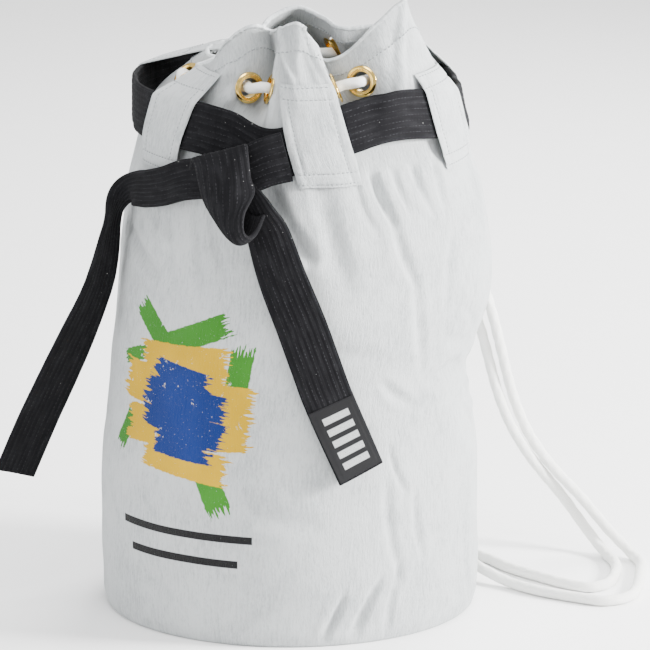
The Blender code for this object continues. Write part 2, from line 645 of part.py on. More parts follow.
def make_straps(mat):
    """Both shoulder straps, from the mouth down the back and along the floor to the base."""
    near_left, away_left = strap_start(2 * BACK_VALLEY)
    near_right, away_right = strap_start(2 * BACK_VALLEY - 1)
    for name, start, out, rest in (("strap_rope_right", near_right, away_right, STRAP_RIGHT),
                                   ("strap_rope_left", near_left, away_left, STRAP_LEFT)):
        free = [start + out * 0.004] + [beside(*p) for p in rest]
        make_rope([start] + smooth_route(free, STRAP_STEP), name, mat)


def make_stopper(name, centre, rope_end, mat):
    """The knot at a strap's end, as a short barrel in line with the rope."""
    middle, end = beside(*centre), beside(*rope_end)
    line = (middle - end).normalized()
    half = (middle - end).length - 0.0006
    profile = [(0.005, -half), (0.0095, -half * 0.5), (0.0112, 0.0), (0.0095, half * 0.5), (0.005, half)]
    bm = bmesh.new()
    turn = line.to_track_quat("Z", "Y").to_matrix().to_4x4()
    place = Matrix.Translation(middle) @ turn
    sides = 12
    rings = [[bm.verts.new(place @ Vector((r * cos(2 * pi * s / sides), r * sin(2 * pi * s / sides), h)))
              for s in range(sides)] for r, h in profile]
    for low, high in zip(rings, rings[1:]):
        for s in range(sides):
            bm.faces.new((low[s], low[(s + 1) % sides], high[(s + 1) % sides], high[s]))
    bm.faces.new(rings[0])
    bm.faces.new(rings[-1])
    finish(bm, name, mat)


def make_base_tab(name, centre, mat):
    """An upright strip sewn to the wall at both ends, with room behind it for the rope."""
    inner, outer = [], []
    middle = atan2(centre.x, -centre.y) * 180 / pi
    width = TAB_WIDTH / centre.length * 180 / pi
    for i in range(4):
        angle = middle + (i / 3 - 0.5) * width
        column_in, column_out = [], []
        for k in range(11):
            t = k / 10
            z = TAB_FOOT + TAB_HEIGHT * t
            bow = sin(pi * t / TAB_BOW_SHARE) if t < TAB_BOW_SHARE else 0.0
            radius = value_at(PROFILE, z) + 2 * GAP + TAB_BOW * bow ** 0.6
            column_in.append(polar(angle, radius, z))
            column_out.append(polar(angle, radius + TAB_THICK, z))
        inner.append(column_in)
        outer.append(column_out)
    grid_solid(outer, inner, name, mat, closed_round=False)


# ---- the whole bag ------------------------------------------------------------------------------
def build():
    clear_scene()
    canvas = material("canvas", (0.80, 0.82, 0.82), 0.85)
    tape = material("tape", (0.78, 0.79, 0.78), 0.85)
    belt = material("belt", (0.016, 0.016, 0.018), 0.8)
    label = material("label", (0.03, 0.03, 0.032), 0.6)
    rope = material("rope", (0.84, 0.84, 0.82), 0.8)
    brass = material("brass", (0.78, 0.57, 0.20), 0.25, 1.0)
    make_wall(canvas)
    make_base(canvas, tape)
    make_hem(canvas)
    make_eyelets(brass)
    for index, (upper, lower) in enumerate(LOOPS, 1):
        make_loop(index, upper, lower, canvas)
    make_belt_wrap(belt)
    make_knot(belt)
    make_left_lead(belt)
    make_left_tail(belt)
    make_right_tail(belt, label)
    make_rope(smooth_route(drawcord_route(), DRAWCORD_STEP), "drawcord", rope)
    make_straps(rope)
    make_stopper("stopper_knot_right", *STOPPER_RIGHT, rope)
    make_stopper("stopper_knot_left", *STOPPER_LEFT, rope)
    make_base_tab("base_tab_right", beside(0.1382, 0.0741, 0.0), canvas)
    make_base_tab("base_tab_left", beside(0.0406, 0.1515, 0.0), canvas)


build()
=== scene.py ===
"""Looks of the drawstring duffel bag: folded canvas, tied belt, braided rope and brass eyelets, built
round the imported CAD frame. Metres, +Z up. An angle round the bag is in degrees from the front (-Y),
growing towards +X. FRONT is the side where the belt is tied, and "right", "away" are square to it."""

from functools import lru_cache, reduce
from math import atan2, ceil, cos, exp, pi, radians, sin, sqrt

import bmesh
import bpy
import numpy as np
from mathutils import Matrix, Vector
from mathutils.bvhtree import BVHTree


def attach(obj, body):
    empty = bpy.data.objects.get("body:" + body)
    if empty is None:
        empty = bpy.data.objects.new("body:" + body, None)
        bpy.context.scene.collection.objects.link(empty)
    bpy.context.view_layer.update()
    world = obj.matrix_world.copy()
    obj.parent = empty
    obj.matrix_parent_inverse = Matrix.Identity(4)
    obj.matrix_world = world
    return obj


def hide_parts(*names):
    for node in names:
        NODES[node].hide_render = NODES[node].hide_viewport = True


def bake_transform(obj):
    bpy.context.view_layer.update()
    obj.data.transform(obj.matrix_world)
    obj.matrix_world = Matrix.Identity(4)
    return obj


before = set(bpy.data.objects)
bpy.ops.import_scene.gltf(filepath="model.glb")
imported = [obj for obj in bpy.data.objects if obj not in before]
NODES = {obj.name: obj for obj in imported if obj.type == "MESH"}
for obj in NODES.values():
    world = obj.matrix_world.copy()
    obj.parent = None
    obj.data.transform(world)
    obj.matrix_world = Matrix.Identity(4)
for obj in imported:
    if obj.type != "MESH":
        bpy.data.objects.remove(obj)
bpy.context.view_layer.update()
BAG = "bag"
GAP = 0.0004                # room left between pieces that lie on each other
FRONT = 38.0

# ---- camera -------------------------------------------------------------------------------------
VIEW_AZIMUTH, VIEW_ELEVATION = 38.0, 15.0
VIEW_DISTANCE, VIEW_LENS = 10.0, 692.3
VIEW_TARGET = (0.028, 0.0, 0.2257)        # right of the base's centre, away, up


def beside(right, away, z):
    """A point by its distance to the right of the base's centre and away from the tied side."""
    f = radians(FRONT)
    return Vector((right * cos(f) - away * sin(f), right * sin(f) + away * cos(f), z))


def make_camera():
    """A long lens far off, aimed as the photo was taken."""
    a, e = radians(VIEW_AZIMUTH), radians(VIEW_ELEVATION)
    back = Vector((sin(a) * cos(e), -cos(a) * cos(e), sin(e)))
    target = beside(*VIEW_TARGET)
    data = bpy.data.cameras.new("camera")
    data.lens = VIEW_LENS
    camera = bpy.data.objects.new("camera", data)
    camera.location = target + back * VIEW_DISTANCE
    camera.rotation_euler = back.to_track_quat("Z", "Y").to_euler()
    bpy.context.scene.collection.objects.link(camera)
    bpy.context.scene.camera = camera


make_camera()

# ---- the bag's surface, as the CAD model has it ---------------------------------------------------
WALL = 0.0024
SEAM_RADIUS = 0.15          # makes seam angles into lengths of cloth
NECK_Z = 0.405
FOLD_START_Z, FOLD_DEPTH_AT_NECK = 0.35, 0.007
DENT_ANGLE, DENT_Z, DENT_DEPTH = 122.0, 0.19, 0.010      # the hollow in the right flank
DENT_TURN, DENT_RISE = 22.0, 0.035                       # how far it spreads, in degrees and up
PROFILE = [(0.0, 0.1465), (0.012, 0.1500), (0.12, 0.1505), (0.20, 0.1475), (0.27, 0.1490),
           (0.34, 0.1420), (0.375, 0.1345), (0.405, 0.1270)]
LEAN = [(0.0, 0.0), (0.12, 0.0), (0.20, 0.004), (0.27, 0.012), (0.34, 0.012), (0.405, 0.008), (0.52, 0.008)]
LEAN_ANGLE = FRONT + 90.0
VALLEYS = [(12.0, 19.0, 0.076), (67.0, 58.5, 0.079), (128.0, 123.0, 0.077), (188.0, 187.0, 0.075),
           (248.0, 249.0, 0.076), (311.0, 311.0, 0.075)]
RIDGES = [(40.0, 30.0, 51.0, 0.114), (98.0, 78.0, 106.0, 0.117), (158.0, 142.0, 165.0, 0.112),
          (218.0, 209.0, 232.0, 0.109), (278.0, 266.0, 293.0, 0.104), (343.0, 324.0, 365.0, 0.107)]
CORD_LEVELS = [(-20.0, 0.53), (4.0, 0.43), (20.0, 0.46), (50.0, 0.58), (76.0, 0.635), (100.0, 0.56),
               (140.0, 0.55), (200.0, 0.55), (260.0, 0.55), (310.0, 0.55)]
SHOULDER = 0.45
RIM = [(-37.0, -34.0, 0.086, 0.447), (-17.0, -13.0, 0.090, 0.456), (-2.0, 4.0, 0.097, 0.480),
       (5.0, 15.0, 0.092, 0.491), (13.0, 21.0, 0.077, 0.484), (24.0, 28.0, 0.090, 0.491),
       (40.0, 38.0, 0.100, 0.497), (52.5, 46.0, 0.092, 0.480), (65.0, 53.0, 0.075, 0.461),
       (73.0, 63.0, 0.086, 0.467), (83.0, 76.0, 0.096, 0.490), (97.0, 91.0, 0.104, 0.508),
       (112.0, 103.0, 0.088, 0.495), (128.0, 122.0, 0.068, 0.472), (143.0, 140.0, 0.086, 0.463),
       (158.0, 155.0, 0.096, 0.461), (172.0, 169.0, 0.086, 0.459), (188.0, 187.0, 0.066, 0.456),
       (204.0, 205.0, 0.082, 0.461), (218.0, 219.0, 0.088, 0.467), (233.0, 234.0, 0.082, 0.462),
       (248.0, 249.0, 0.066, 0.453), (263.0, 264.0, 0.076, 0.449), (278.0, 280.0, 0.080, 0.447),
       (294.0, 296.0, 0.076, 0.446), (311.0, 311.0, 0.068, 0.446)]
LOOPS = [(40.0, 48.0), (97.0, 106.0), (158.0, 158.0), (218.0, 218.0), (278.0, 278.0), (350.0, 339.0)]


def table_at(table, x):
    """Smooth value of an open table at x: a Catmull-Rom curve through its rows."""
    xs = [row[0] for row in table]
    if x <= xs[0]:
        return table[0][1]
    if x >= xs[-1]:
        return table[-1][1]
    i = max(k for k in range(len(xs) - 1) if xs[k] <= x)
    t = (x - xs[i]) / (xs[i + 1] - xs[i])
    step = xs[i + 1] - xs[i]

    def slope(k):
        if k == 0 or k == len(xs) - 1:
            return 0.0 if k else (table[1][1] - table[0][1]) / (xs[1] - xs[0])
        return (table[k + 1][1] - table[k - 1][1]) / (xs[k + 1] - xs[k - 1])
    a, b = table[i][1], table[i + 1][1]
    return (a * (1 + 2 * t) * (1 - t) ** 2 + b * t * t * (3 - 2 * t)
            + step * t * (1 - t) * (slope(i) * (1 - t) - slope(i + 1) * t))


def catmull(p0, p1, p2, p3, t):
    """Catmull-Rom curve from p1 to p2."""
    return 0.5 * (2 * p1 + (p2 - p0) * t + (2 * p0 - 5 * p1 + 4 * p2 - p3) * t * t
                  + (3 * p1 - p0 - 3 * p2 + p3) * t ** 3)


def round_table(table, angle):
    """Values of a closed table of (angle, value, ...) at an angle."""
    n = len(table)
    turn = (angle - table[0][0]) % 360.0 + table[0][0]
    starts = [row[0] for row in table] + [table[0][0] + 360.0]
    i = max(k for k in range(n) if starts[k] <= turn)
    t = (turn - starts[i]) / (starts[i + 1] - starts[i])
    rows = [table[(i + k) % n] for k in (-1, 0, 1, 2)]
    return [catmull(rows[0][k], rows[1][k], rows[2][k], rows[3][k], t) for k in range(1, len(table[0]))]


def turned_table(table, seam):
    """Values of a closed table of (seam, angle, ...), where the angle stays near its seam."""
    shifted = [(row[0], row[1] - row[0], *row[2:]) for row in table]
    values = round_table(shifted, seam)
    return [seam + values[0], *values[1:]]


def turn_between(a, b):
    """Signed difference of two angles, within half a turn."""
    return (a - b + 180.0) % 360.0 - 180.0


def polar(angle, radius, z):
    """A point by its angle and distance round the bag's leaning middle line."""
    a, side, lean = radians(angle), radians(LEAN_ANGLE), table_at(LEAN, z)
    return Vector((radius * sin(a) + lean * sin(side), -radius * cos(a) - lean * cos(side), z))


def cord_ring():
    """The mouth at the cord's height, and the seam angles of the eyelets."""
    rows, eyelets = [], []
    for i, (seam, first, last, radius) in enumerate(RIDGES):
        before, after = VALLEYS[i], VALLEYS[(i + 1) % len(VALLEYS)]
        after_seam, after_angle = (after[0] + 360.0, after[1] + 360.0) if after[0] < before[0] else after[:2]
        start, stop = seam + SHOULDER * (before[0] - seam), seam + SHOULDER * (after_seam - seam)
        up = ((start + before[0]) / 2, (first + before[1]) / 2, (radius + before[2]) / 2)
        down = ((stop + after_seam) / 2, (last + after_angle) / 2, (radius + after[2]) / 2)
        rows += [before, up, (start, first, radius - 0.002), (seam, (first + last) / 2, radius),
                 (stop, last, radius - 0.002), down]
        eyelets += [up[0], down[0]]
    return rows, eyelets


CORD_RING, EYELET_SEAMS = cord_ring()


@lru_cache(maxsize=None)
def seam_rings(seam):
    """Cord and rim at a seam angle, and the cord's level between neck and rim."""
    return turned_table(CORD_RING, seam), turned_table(RIM, seam), round_table(CORD_LEVELS, seam)[0]


def valley_depth(seam, width=24.0):
    """1 in the middle of a fold of the mouth and 0 beyond its width."""
    nearest = min(abs(turn_between(seam, v[0])) for v in VALLEYS)
    return 0.5 * (1 + cos(pi * min(nearest, width) / width))


def side_dent(angle, z):
    """Depth of the hollow in the right flank."""
    d = turn_between(angle, DENT_ANGLE)
    return DENT_DEPTH * exp(-(d / DENT_TURN) ** 2 - ((z - DENT_Z) / DENT_RISE) ** 2)


@lru_cache(maxsize=None)
def wall_polar(seam, v):
    """Angle, radius and height of the smooth outer face. v is the height up to the neck, and above it
    the neck's height plus a tenth of the way to the rim."""
    neck_r = table_at(PROFILE, min(v, NECK_Z))
    grow = max(0.0, (min(v, NECK_Z) - FOLD_START_Z) / (NECK_Z - FOLD_START_Z))
    neck_r -= FOLD_DEPTH_AT_NECK * grow * valley_depth(seam) + side_dent(seam, v)
    if v <= NECK_Z:
        return seam, neck_r, v
    t = (v - NECK_Z) * 10.0
    (cord_a, cord_r), (rim_a, rim_r, rim_z), c = seam_rings(seam)
    weights = ((t - c) * (t - 1) / c, t * (t - 1) / (c * (c - 1)), t * (t - c) / (1 - c))
    angle = weights[0] * seam + weights[1] * cord_a + weights[2] * rim_a
    radius = weights[0] * neck_r + weights[1] * cord_r + weights[2] * rim_r
    return angle, radius, NECK_Z + t * (rim_z - NECK_Z)


def wall_point(seam, v):
    """Point of the smooth outer face."""
    return polar(*wall_polar(seam, v))


def wall_normal(seam, v):
    """Outward direction of the smooth outer face."""
    around = wall_point(seam + 0.8, v) - wall_point(seam - 0.8, v)
    up = wall_point(seam, v + 0.0008) - wall_point(seam, max(v - 0.0008, 0.0))
    return around.cross(up).normalized()


# ---- small mesh tools -----------------------------------------------------------------------------
def unit(v):
    """Vectors of an array made one long."""
    return v / np.maximum(np.linalg.norm(v, axis=-1, keepdims=True), 1e-12)


def new_object(name, verts, faces, mat, uvs=None, sharp=50.0):
    """Mesh object in the scene, shaded smooth but for edges sharper than an angle."""
    mesh = bpy.data.meshes.new(name)
    mesh.from_pydata([tuple(map(float, p)) for p in verts], [], [tuple(map(int, f)) for f in faces])
    if uvs is not None:
        layer = mesh.uv_layers.new(name="UVMap")
        layer.data.foreach_set("uv", np.asarray(uvs, dtype=np.float32).ravel())
    mesh.validate()
    mesh.materials.append(mat)
    mesh.shade_smooth()
    mesh.set_sharp_from_angle(angle=radians(sharp))
    obj = bpy.data.objects.new(name, mesh)
    bpy.context.scene.collection.objects.link(obj)
    return obj


def shell(name, outer, inner, mat, closed=False, us=None, vs=None, sharp=60.0):
    """Closed skin between two point grids (n, m, 3). The first index runs round or along, and us, vs are
    its lengths in metres for the UV map."""
    n, m = outer.shape[:2]
    verts = np.concatenate([outer.reshape(-1, 3), inner.reshape(-1, 3)])
    us = np.arange(n + 1, dtype=float) if us is None else us
    vs = np.arange(m, dtype=float) if vs is None else vs
    last = n if closed else n - 1
    i, k = np.meshgrid(np.arange(last), np.arange(m - 1), indexing="ij")
    i, k = i.ravel(), k.ravel()
    j = (i + 1) % n
    a, b, c, d = i * m + k, j * m + k, j * m + k + 1, i * m + k + 1
    base = n * m
    uv = np.stack([np.stack([us[i], vs[k]], 1), np.stack([us[i + 1], vs[k]], 1),
                   np.stack([us[i + 1], vs[k + 1]], 1), np.stack([us[i], vs[k + 1]], 1)], 1)
    faces = [np.stack([a, b, c, d], 1), np.stack([a, d, c, b], 1) + base]
    uvs = [uv, uv[:, [0, 3, 2, 1]]]
    ii = np.arange(last)
    jj = (ii + 1) % n
    for row, flip in ((0, True), (m - 1, False)):
        quad = [ii * m + row, jj * m + row, jj * m + row + base, ii * m + row + base]
        near = np.stack([us[ii], np.full(last, vs[row])], 1)
        far = np.stack([us[ii + 1], np.full(last, vs[row])], 1)
        around = np.stack([near, far, far, near], 1)
        order = [0, 3, 2, 1] if flip else [0, 1, 2, 3]
        faces.append(np.stack(quad, 1)[:, order])
        uvs.append(around[:, order])
    if not closed:
        kk = np.arange(m - 1)
        for col, flip in ((0, False), (n - 1, True)):
            quad = [col * m + kk, col * m + kk + 1, col * m + kk + 1 + base, col * m + kk + base]
            low = np.stack([np.full(m - 1, us[col]), vs[kk]], 1)
            high = np.stack([np.full(m - 1, us[col]), vs[kk + 1]], 1)
            around = np.stack([low, high, high, low], 1)
            order = [0, 3, 2, 1] if flip else [0, 1, 2, 3]
            faces.append(np.stack(quad, 1)[:, order])
            uvs.append(around[:, order])
    return new_object(name, verts, np.concatenate(faces), mat, np.concatenate(uvs), sharp=sharp)


def smooth_route(points, step):
    """Points at an even distance along a smooth curve through the given ones, as an array."""
    pts = [np.asarray(p, float) for p in points]
    pts = [2 * pts[0] - pts[1], *pts, 2 * pts[-1] - pts[-2]]
    fine = [catmull(*pts[i - 1:i + 3], k / 24) for i in range(1, len(pts) - 2) for k in range(24)]
    fine = np.array(fine + [pts[-2]])
    lengths = lengths_of(fine)
    count = ceil(lengths[-1] / step)
    at = np.linspace(0, lengths[-1], count + 1)
    return np.stack([np.interp(at, lengths, fine[:, k]) for k in range(3)], 1)


def smooth_array(values, at, closed=False):
    """Catmull-Rom through rows of values at fractional indices."""
    values = np.asarray(values, float)
    n = len(values)
    i = np.floor(at).astype(int)
    t = (at - i)[:, None]
    pick = (lambda k: values[(i + k) % n]) if closed else (lambda k: values[np.clip(i + k, 0, n - 1)])
    return catmull(pick(-1), pick(0), pick(1), pick(2), t)


def value_noise(x, y, z=0.0):
    """Smooth noise of arrays of points, from -1 to 1, built from sums of sines in fixed directions."""
    total = 0.0
    for k in range(6):
        a, b = sin(1.7 + 2.1 * k), cos(0.6 + 3.3 * k)
        total = total + np.sin(a * x + b * y + 0.9 * z + 1.3 * k + 1.1 * np.sin(b * x - a * y + 2.2 * k + z))
    return total / 6.0


def smooth_step(low, high, x):
    """0 below low, 1 above high, and a smooth climb between."""
    t = np.clip((x - low) / (high - low), 0.0, 1.0)
    return t * t * (3 - 2 * t)


def slab(name, mids, normals, thick, mat, us, vs, sharp=60.0):
    """Closed strip of cloth: mids (n, m, 3) is its middle surface, thick (n, m) its thickness."""
    half = thick[..., None] / 2 * normals
    return shell(name, mids + half, mids - half, mat, us=us, vs=vs, sharp=sharp)


def grid_normals(points, closed=False):
    """Normals of a grid of points, closed round its first index or not."""
    if closed:
        along = np.roll(points, -1, 0) - np.roll(points, 1, 0)
    else:
        along = np.gradient(points, axis=0)
    return unit(np.cross(along, np.gradient(points, axis=1)))


def lengths_of(points):
    """Distance along a row of points."""
    return np.concatenate([[0.0], np.cumsum(np.linalg.norm(np.diff(points, axis=0), axis=1))])


def tube(name, points, radius, mat, sides=14, braid=None):
    """Closed tube along a list of points, turned without twist. braid gives the radius factor from the
    length along it and the angle round it."""
    points = np.asarray(points, float)
    n = len(points)
    tangent = unit(np.gradient(points, axis=0))
    frame_x = np.zeros((n, 3))
    seed = np.array([0.0, 0.0, 1.0]) if abs(tangent[0][2]) < 0.9 else np.array([1.0, 0.0, 0.0])
    x = unit(seed - tangent[0] * np.dot(seed, tangent[0]))
    for i in range(n):
        x = unit(x - tangent[i] * np.dot(x, tangent[i]))
        frame_x[i] = x
    frame_y = np.cross(tangent, frame_x)
    s = lengths_of(points)
    a = 2 * pi * np.arange(sides) / sides
    factor = np.ones((n, sides)) if braid is None else braid(s[:, None], a[None, :])
    ring = frame_x[:, None] * np.cos(a)[None, :, None] + frame_y[:, None] * np.sin(a)[None, :, None]
    radii = np.broadcast_to(np.asarray(radius, float).reshape(-1, 1), (n, 1)) if np.ndim(radius) else radius
    verts = (points[:, None] + ring * (factor * radii)[..., None]).reshape(-1, 3)
    i, k = [g.ravel() for g in np.meshgrid(np.arange(n - 1), np.arange(sides), indexing="ij")]
    j = (k + 1) % sides
    quads = np.stack([i * sides + k, i * sides + j, (i + 1) * sides + j, (i + 1) * sides + k], 1)
    turn = radius if not np.ndim(radius) else float(np.mean(radius))
    uv = np.stack([np.stack([s[p], turn * 2 * pi * q / sides], 1)
                   for p, q in ((i, k), (i, k + 1), (i + 1, k + 1), (i + 1, k))], 1).reshape(-1, 2)
    faces, uvs = [tuple(q) for q in quads], list(map(tuple, uv))
    verts = np.concatenate([verts, points[[0, -1]]])
    for k in range(sides):
        j = (k + 1) % sides
        faces += [(n * sides, j, k), (n * sides + 1, (n - 1) * sides + k, (n - 1) * sides + j)]
        uvs += [(0, 0)] * 6
    return new_object(name, verts, faces, mat, np.array(uvs), sharp=80.0)


# ---- materials ------------------------------------------------------------------------------------
class Field:
    """A node's output that can be used in sums, so that a mask reads like a formula."""

    def __init__(self, look, socket):
        self.look, self.socket = look, socket

    def put(self, op, *others):
        """This value put through a Math node."""
        sockets = [o.socket if isinstance(o, Field) else o for o in others]
        return Field(self.look, self.look.add("Math", self.socket, *sockets, operation=op))

    def __add__(self, other):
        return self.put("ADD", other)

    def __sub__(self, other):
        return self.put("SUBTRACT", other)

    def __mul__(self, other):
        return self.put("MULTIPLY", other)

    def __truediv__(self, other):
        return self.put("DIVIDE", other)

    __radd__, __rmul__ = __add__, __mul__

    def smooth(self, low, high):
        """0 below low and 1 above high, or the other way round when low is the larger."""
        node = self.look.tree.nodes.new("ShaderNodeMapRange")
        node.interpolation_type = "SMOOTHSTEP"
        for key, value in (("Value", self.socket), ("From Min", low), ("From Max", high)):
            self.look.link(node.inputs[key], value)
        return Field(self.look, node.outputs[0])


class Look:
    """One material and short ways to add nodes to it."""

    def __init__(self, name, colour, roughness, metallic=0.0, sheen=0.0, gloss=0.5):
        self.mat = bpy.data.materials.new(name)
        self.mat.use_nodes = True
        self.tree = self.mat.node_tree
        self.shader = self.tree.nodes["Principled BSDF"]
        self.set("Base Color", (*colour, 1.0))
        self.set("Roughness", roughness)
        self.set("Metallic", metallic)
        self.set("Sheen Weight", sheen)
        self.set("Sheen Roughness", 0.45)
        self.set("Specular IOR Level", gloss)
        self.mat.diffuse_color = (*colour, 1.0)

    def set(self, name, value):
        """Set or link one of the shader's own sockets."""
        self.link(self.shader.inputs[name], value)

    def link(self, socket, value):
        """Give a socket a plain value, or link another node's output to it."""
        value = value.socket if isinstance(value, Field) else value
        if isinstance(value, bpy.types.NodeSocket):
            self.tree.links.new(value, socket)
        elif value is not None:
            socket.default_value = value

    def add(self, kind, *values, out=0, **settings):
        """Add a node and return one of its outputs."""
        node = self.tree.nodes.new("ShaderNode" + kind)
        for key, value in settings.items():
            setattr(node, key, value)
        for socket, value in zip(node.inputs, values):
            self.link(socket, value)
        return node.outputs[out]

    def uv(self):
        """The cloth's own lengths in metres, along and across."""
        split = self.tree.nodes.new("ShaderNodeSeparateXYZ")
        self.link(split.inputs[0], self.add("TexCoord", out="UV"))
        return Field(self, split.outputs[0]), Field(self, split.outputs[1])

    def place(self):
        """The object's own coordinates."""
        return self.add("TexCoord", out="Object")

    def noise(self, where, scale, detail=3.0, roughness=0.55, distortion=0.0):
        """Noise, from 0 to 1."""
        node = self.tree.nodes.new("ShaderNodeTexNoise")
        for key, value in (("Vector", where), ("Scale", scale), ("Detail", detail), ("Roughness", roughness),
                           ("Distortion", distortion)):
            self.link(node.inputs[key], value)
        return Field(self, node.outputs[0])

    def stretched(self, u, v, along, across):
        """Noise coordinates with their own number of grains per metre each way."""
        return self.add("CombineXYZ", u * along, v * across)

    def mix(self, factor, a, b):
        """Colour a where the factor is 0, and b where it is 1."""
        node = self.tree.nodes.new("ShaderNodeMix")
        node.data_type = "RGBA"
        self.link(node.inputs[0], factor)
        self.link(node.inputs[6], a if not isinstance(a, tuple) else (*a, 1.0))
        self.link(node.inputs[7], b if not isinstance(b, tuple) else (*b, 1.0))
        return node.outputs[2]

    def bump(self, height, strength, distance):
        """Raise the surface by a height, in units of distance."""
        node = self.tree.nodes.new("ShaderNodeBump")
        node.inputs["Strength"].default_value = strength
        node.inputs["Distance"].default_value = distance
        self.link(node.inputs["Height"], height)
        self.link(self.shader.inputs["Normal"], node.outputs[0])


def union(masks):
    """The largest of several masks."""
    return reduce(lambda one, other: one.put("MAXIMUM", other), masks)


CANVAS = (0.62, 0.645, 0.650)
CANVAS_DIM = (0.40, 0.425, 0.438)
INK_GREEN, INK_YELLOW = (0.035, 0.190, 0.014), (0.58, 0.345, 0.0)
INK_BLUE, INK_BLACK = (0.003, 0.022, 0.150), (0.010, 0.010, 0.011)
WEAVE_PITCH, PICK_PITCH = 0.00092, 0.00105


def canvas_look(name, grain=1.0):
    """Brushed cotton: an upright nap, a plain weave under it, and faint uneven washing."""
    look = Look(name, CANVAS, 0.86, sheen=0.06, gloss=0.15)
    u, v = look.uv()
    fine = look.noise(look.stretched(u, v, 1500.0, 330.0), 1.0, 3.0, 0.6)
    nap = fine * 0.4 + look.noise(look.stretched(u, v, 520.0, 75.0), 1.0, 4.0, 0.7) * 0.6
    clouds = look.noise(look.place(), 26.0, 4.0, 0.6)
    weave = (u * (2 * pi / WEAVE_PITCH)).put("SINE")
    picks = (v * (2 * pi / PICK_PITCH)).put("SINE")
    tone = nap * 0.72 + clouds * 0.28
    look.set("Base Color", look.mix(tone.smooth(0.34, 0.56), CANVAS_DIM, CANVAS))
    look.bump(nap * 1.6 * grain + weave * picks * 0.16 + clouds * 0.6, 0.9, 0.0018)
    return look, u, v


def box_mask(along, across, size, edge):
    """1 within a length and a width about the middle, over a soft edge."""
    return (along.smooth(size[0] / 2 + edge, size[0] / 2 - edge)
            * across.smooth(size[1] / 2 + edge, size[1] / 2 - edge))


def stroke(look, u, v, centre, size, turn, seed):
    """Mask of a dry brush stroke: straight sides, streaky ends. size is its length and width."""
    c, s = cos(radians(turn)), sin(radians(turn))
    x, y = u - centre[0], v - centre[1]
    along, across = x * c + y * s, y * c - x * s
    streaks = look.noise(look.add("CombineXYZ", along * 55.0 + seed, across * 420.0), 1.0, 2.0)
    edge = look.noise(look.add("CombineXYZ", along * 240.0 + seed, across * 90.0), 1.0, 3.0)
    return box_mask(along.put("ABSOLUTE") + (streaks - 0.5) * 0.035,
                    across.put("ABSOLUTE") + (edge - 0.5) * 0.0030, size, 0.0004)


# Brush strokes of the print: centre from the front's middle and the base, length and width, turn, seed.
GREEN_STROKES = [((-0.033, 0.247), (0.058, 0.019), -38.0, 1.0), ((0.004, 0.249), (0.070, 0.020), 24.0, 2.3),
                 ((0.051, 0.219), (0.047, 0.020), 86.0, 3.1), ((-0.062, 0.162), (0.034, 0.015), 62.0, 4.7),
                 ((0.034, 0.129), (0.042, 0.021), -66.0, 5.9), ((-0.062, 0.222), (0.032, 0.012), 20.0, 6.4)]
YELLOW_STROKES = [((-0.004, 0.226), (0.090, 0.030), 4.0, 11.0), ((-0.002, 0.200), (0.134, 0.032), -3.0, 12.4),
                  ((0.002, 0.172), (0.122, 0.030), 3.0, 13.8), ((0.006, 0.147), (0.080, 0.026), -6.0, 15.1)]
BLUE_STROKES = [((-0.002, 0.214), (0.056, 0.020), -8.0, 21.0), ((0.001, 0.196), (0.082, 0.022), -5.0, 22.7),
                ((0.002, 0.176), (0.080, 0.022), -9.0, 24.1), ((0.004, 0.158), (0.054, 0.019), -4.0, 25.5)]
# The plain bars under it: centre and size.
BARS = [((0.006, 0.0885), (0.128, 0.0062)), ((0.006, 0.0680), (0.104, 0.0062))]


def wall_look():
    """The canvas with its print: a patch of worn brush strokes over two plain bars."""
    look, u, v = canvas_look("canvas_printed")
    coat = look.shader.inputs["Base Color"].links[0].from_socket
    turn = (u / SEAM_RADIUS + pi).put("MODULO", 2 * pi) - pi
    x = turn * SEAM_RADIUS
    wear = look.noise(look.stretched(x, v, 900.0, 500.0), 1.0, 4.0, 0.7).smooth(0.30, 0.36)
    scuffs = look.noise(look.stretched(x, v, 70.0, 60.0), 1.0, 6.0, 0.75, 0.4).smooth(0.655, 0.635)
    shade = look.noise(look.stretched(x, v, 14.0, 9.0), 1.0, 2.0)
    for strokes, ink in ((GREEN_STROKES, INK_GREEN), (YELLOW_STROKES, INK_YELLOW), (BLUE_STROKES, INK_BLUE)):
        mask = union(stroke(look, x, v, *each) for each in strokes)
        pale = tuple(min(1.0, c * 1.25 + 0.004) for c in ink)
        coat = look.mix(mask * wear * scuffs, coat, look.mix(shade.smooth(0.35, 0.65), ink, pale))
    mask = union(box_mask((x - centre[0]).put("ABSOLUTE"), (v - centre[1]).put("ABSOLUTE"), size, 0.0003)
                 for centre, size in BARS)
    coat = look.mix(mask * (wear * 0.25 + 0.75), coat, INK_BLACK)
    look.set("Base Color", coat)
    return look.mat


STITCH_ROWS = 8
STITCH_PITCH = 0.0046       # between the rows sewn along the belt
STITCH_LENGTH = 0.0034


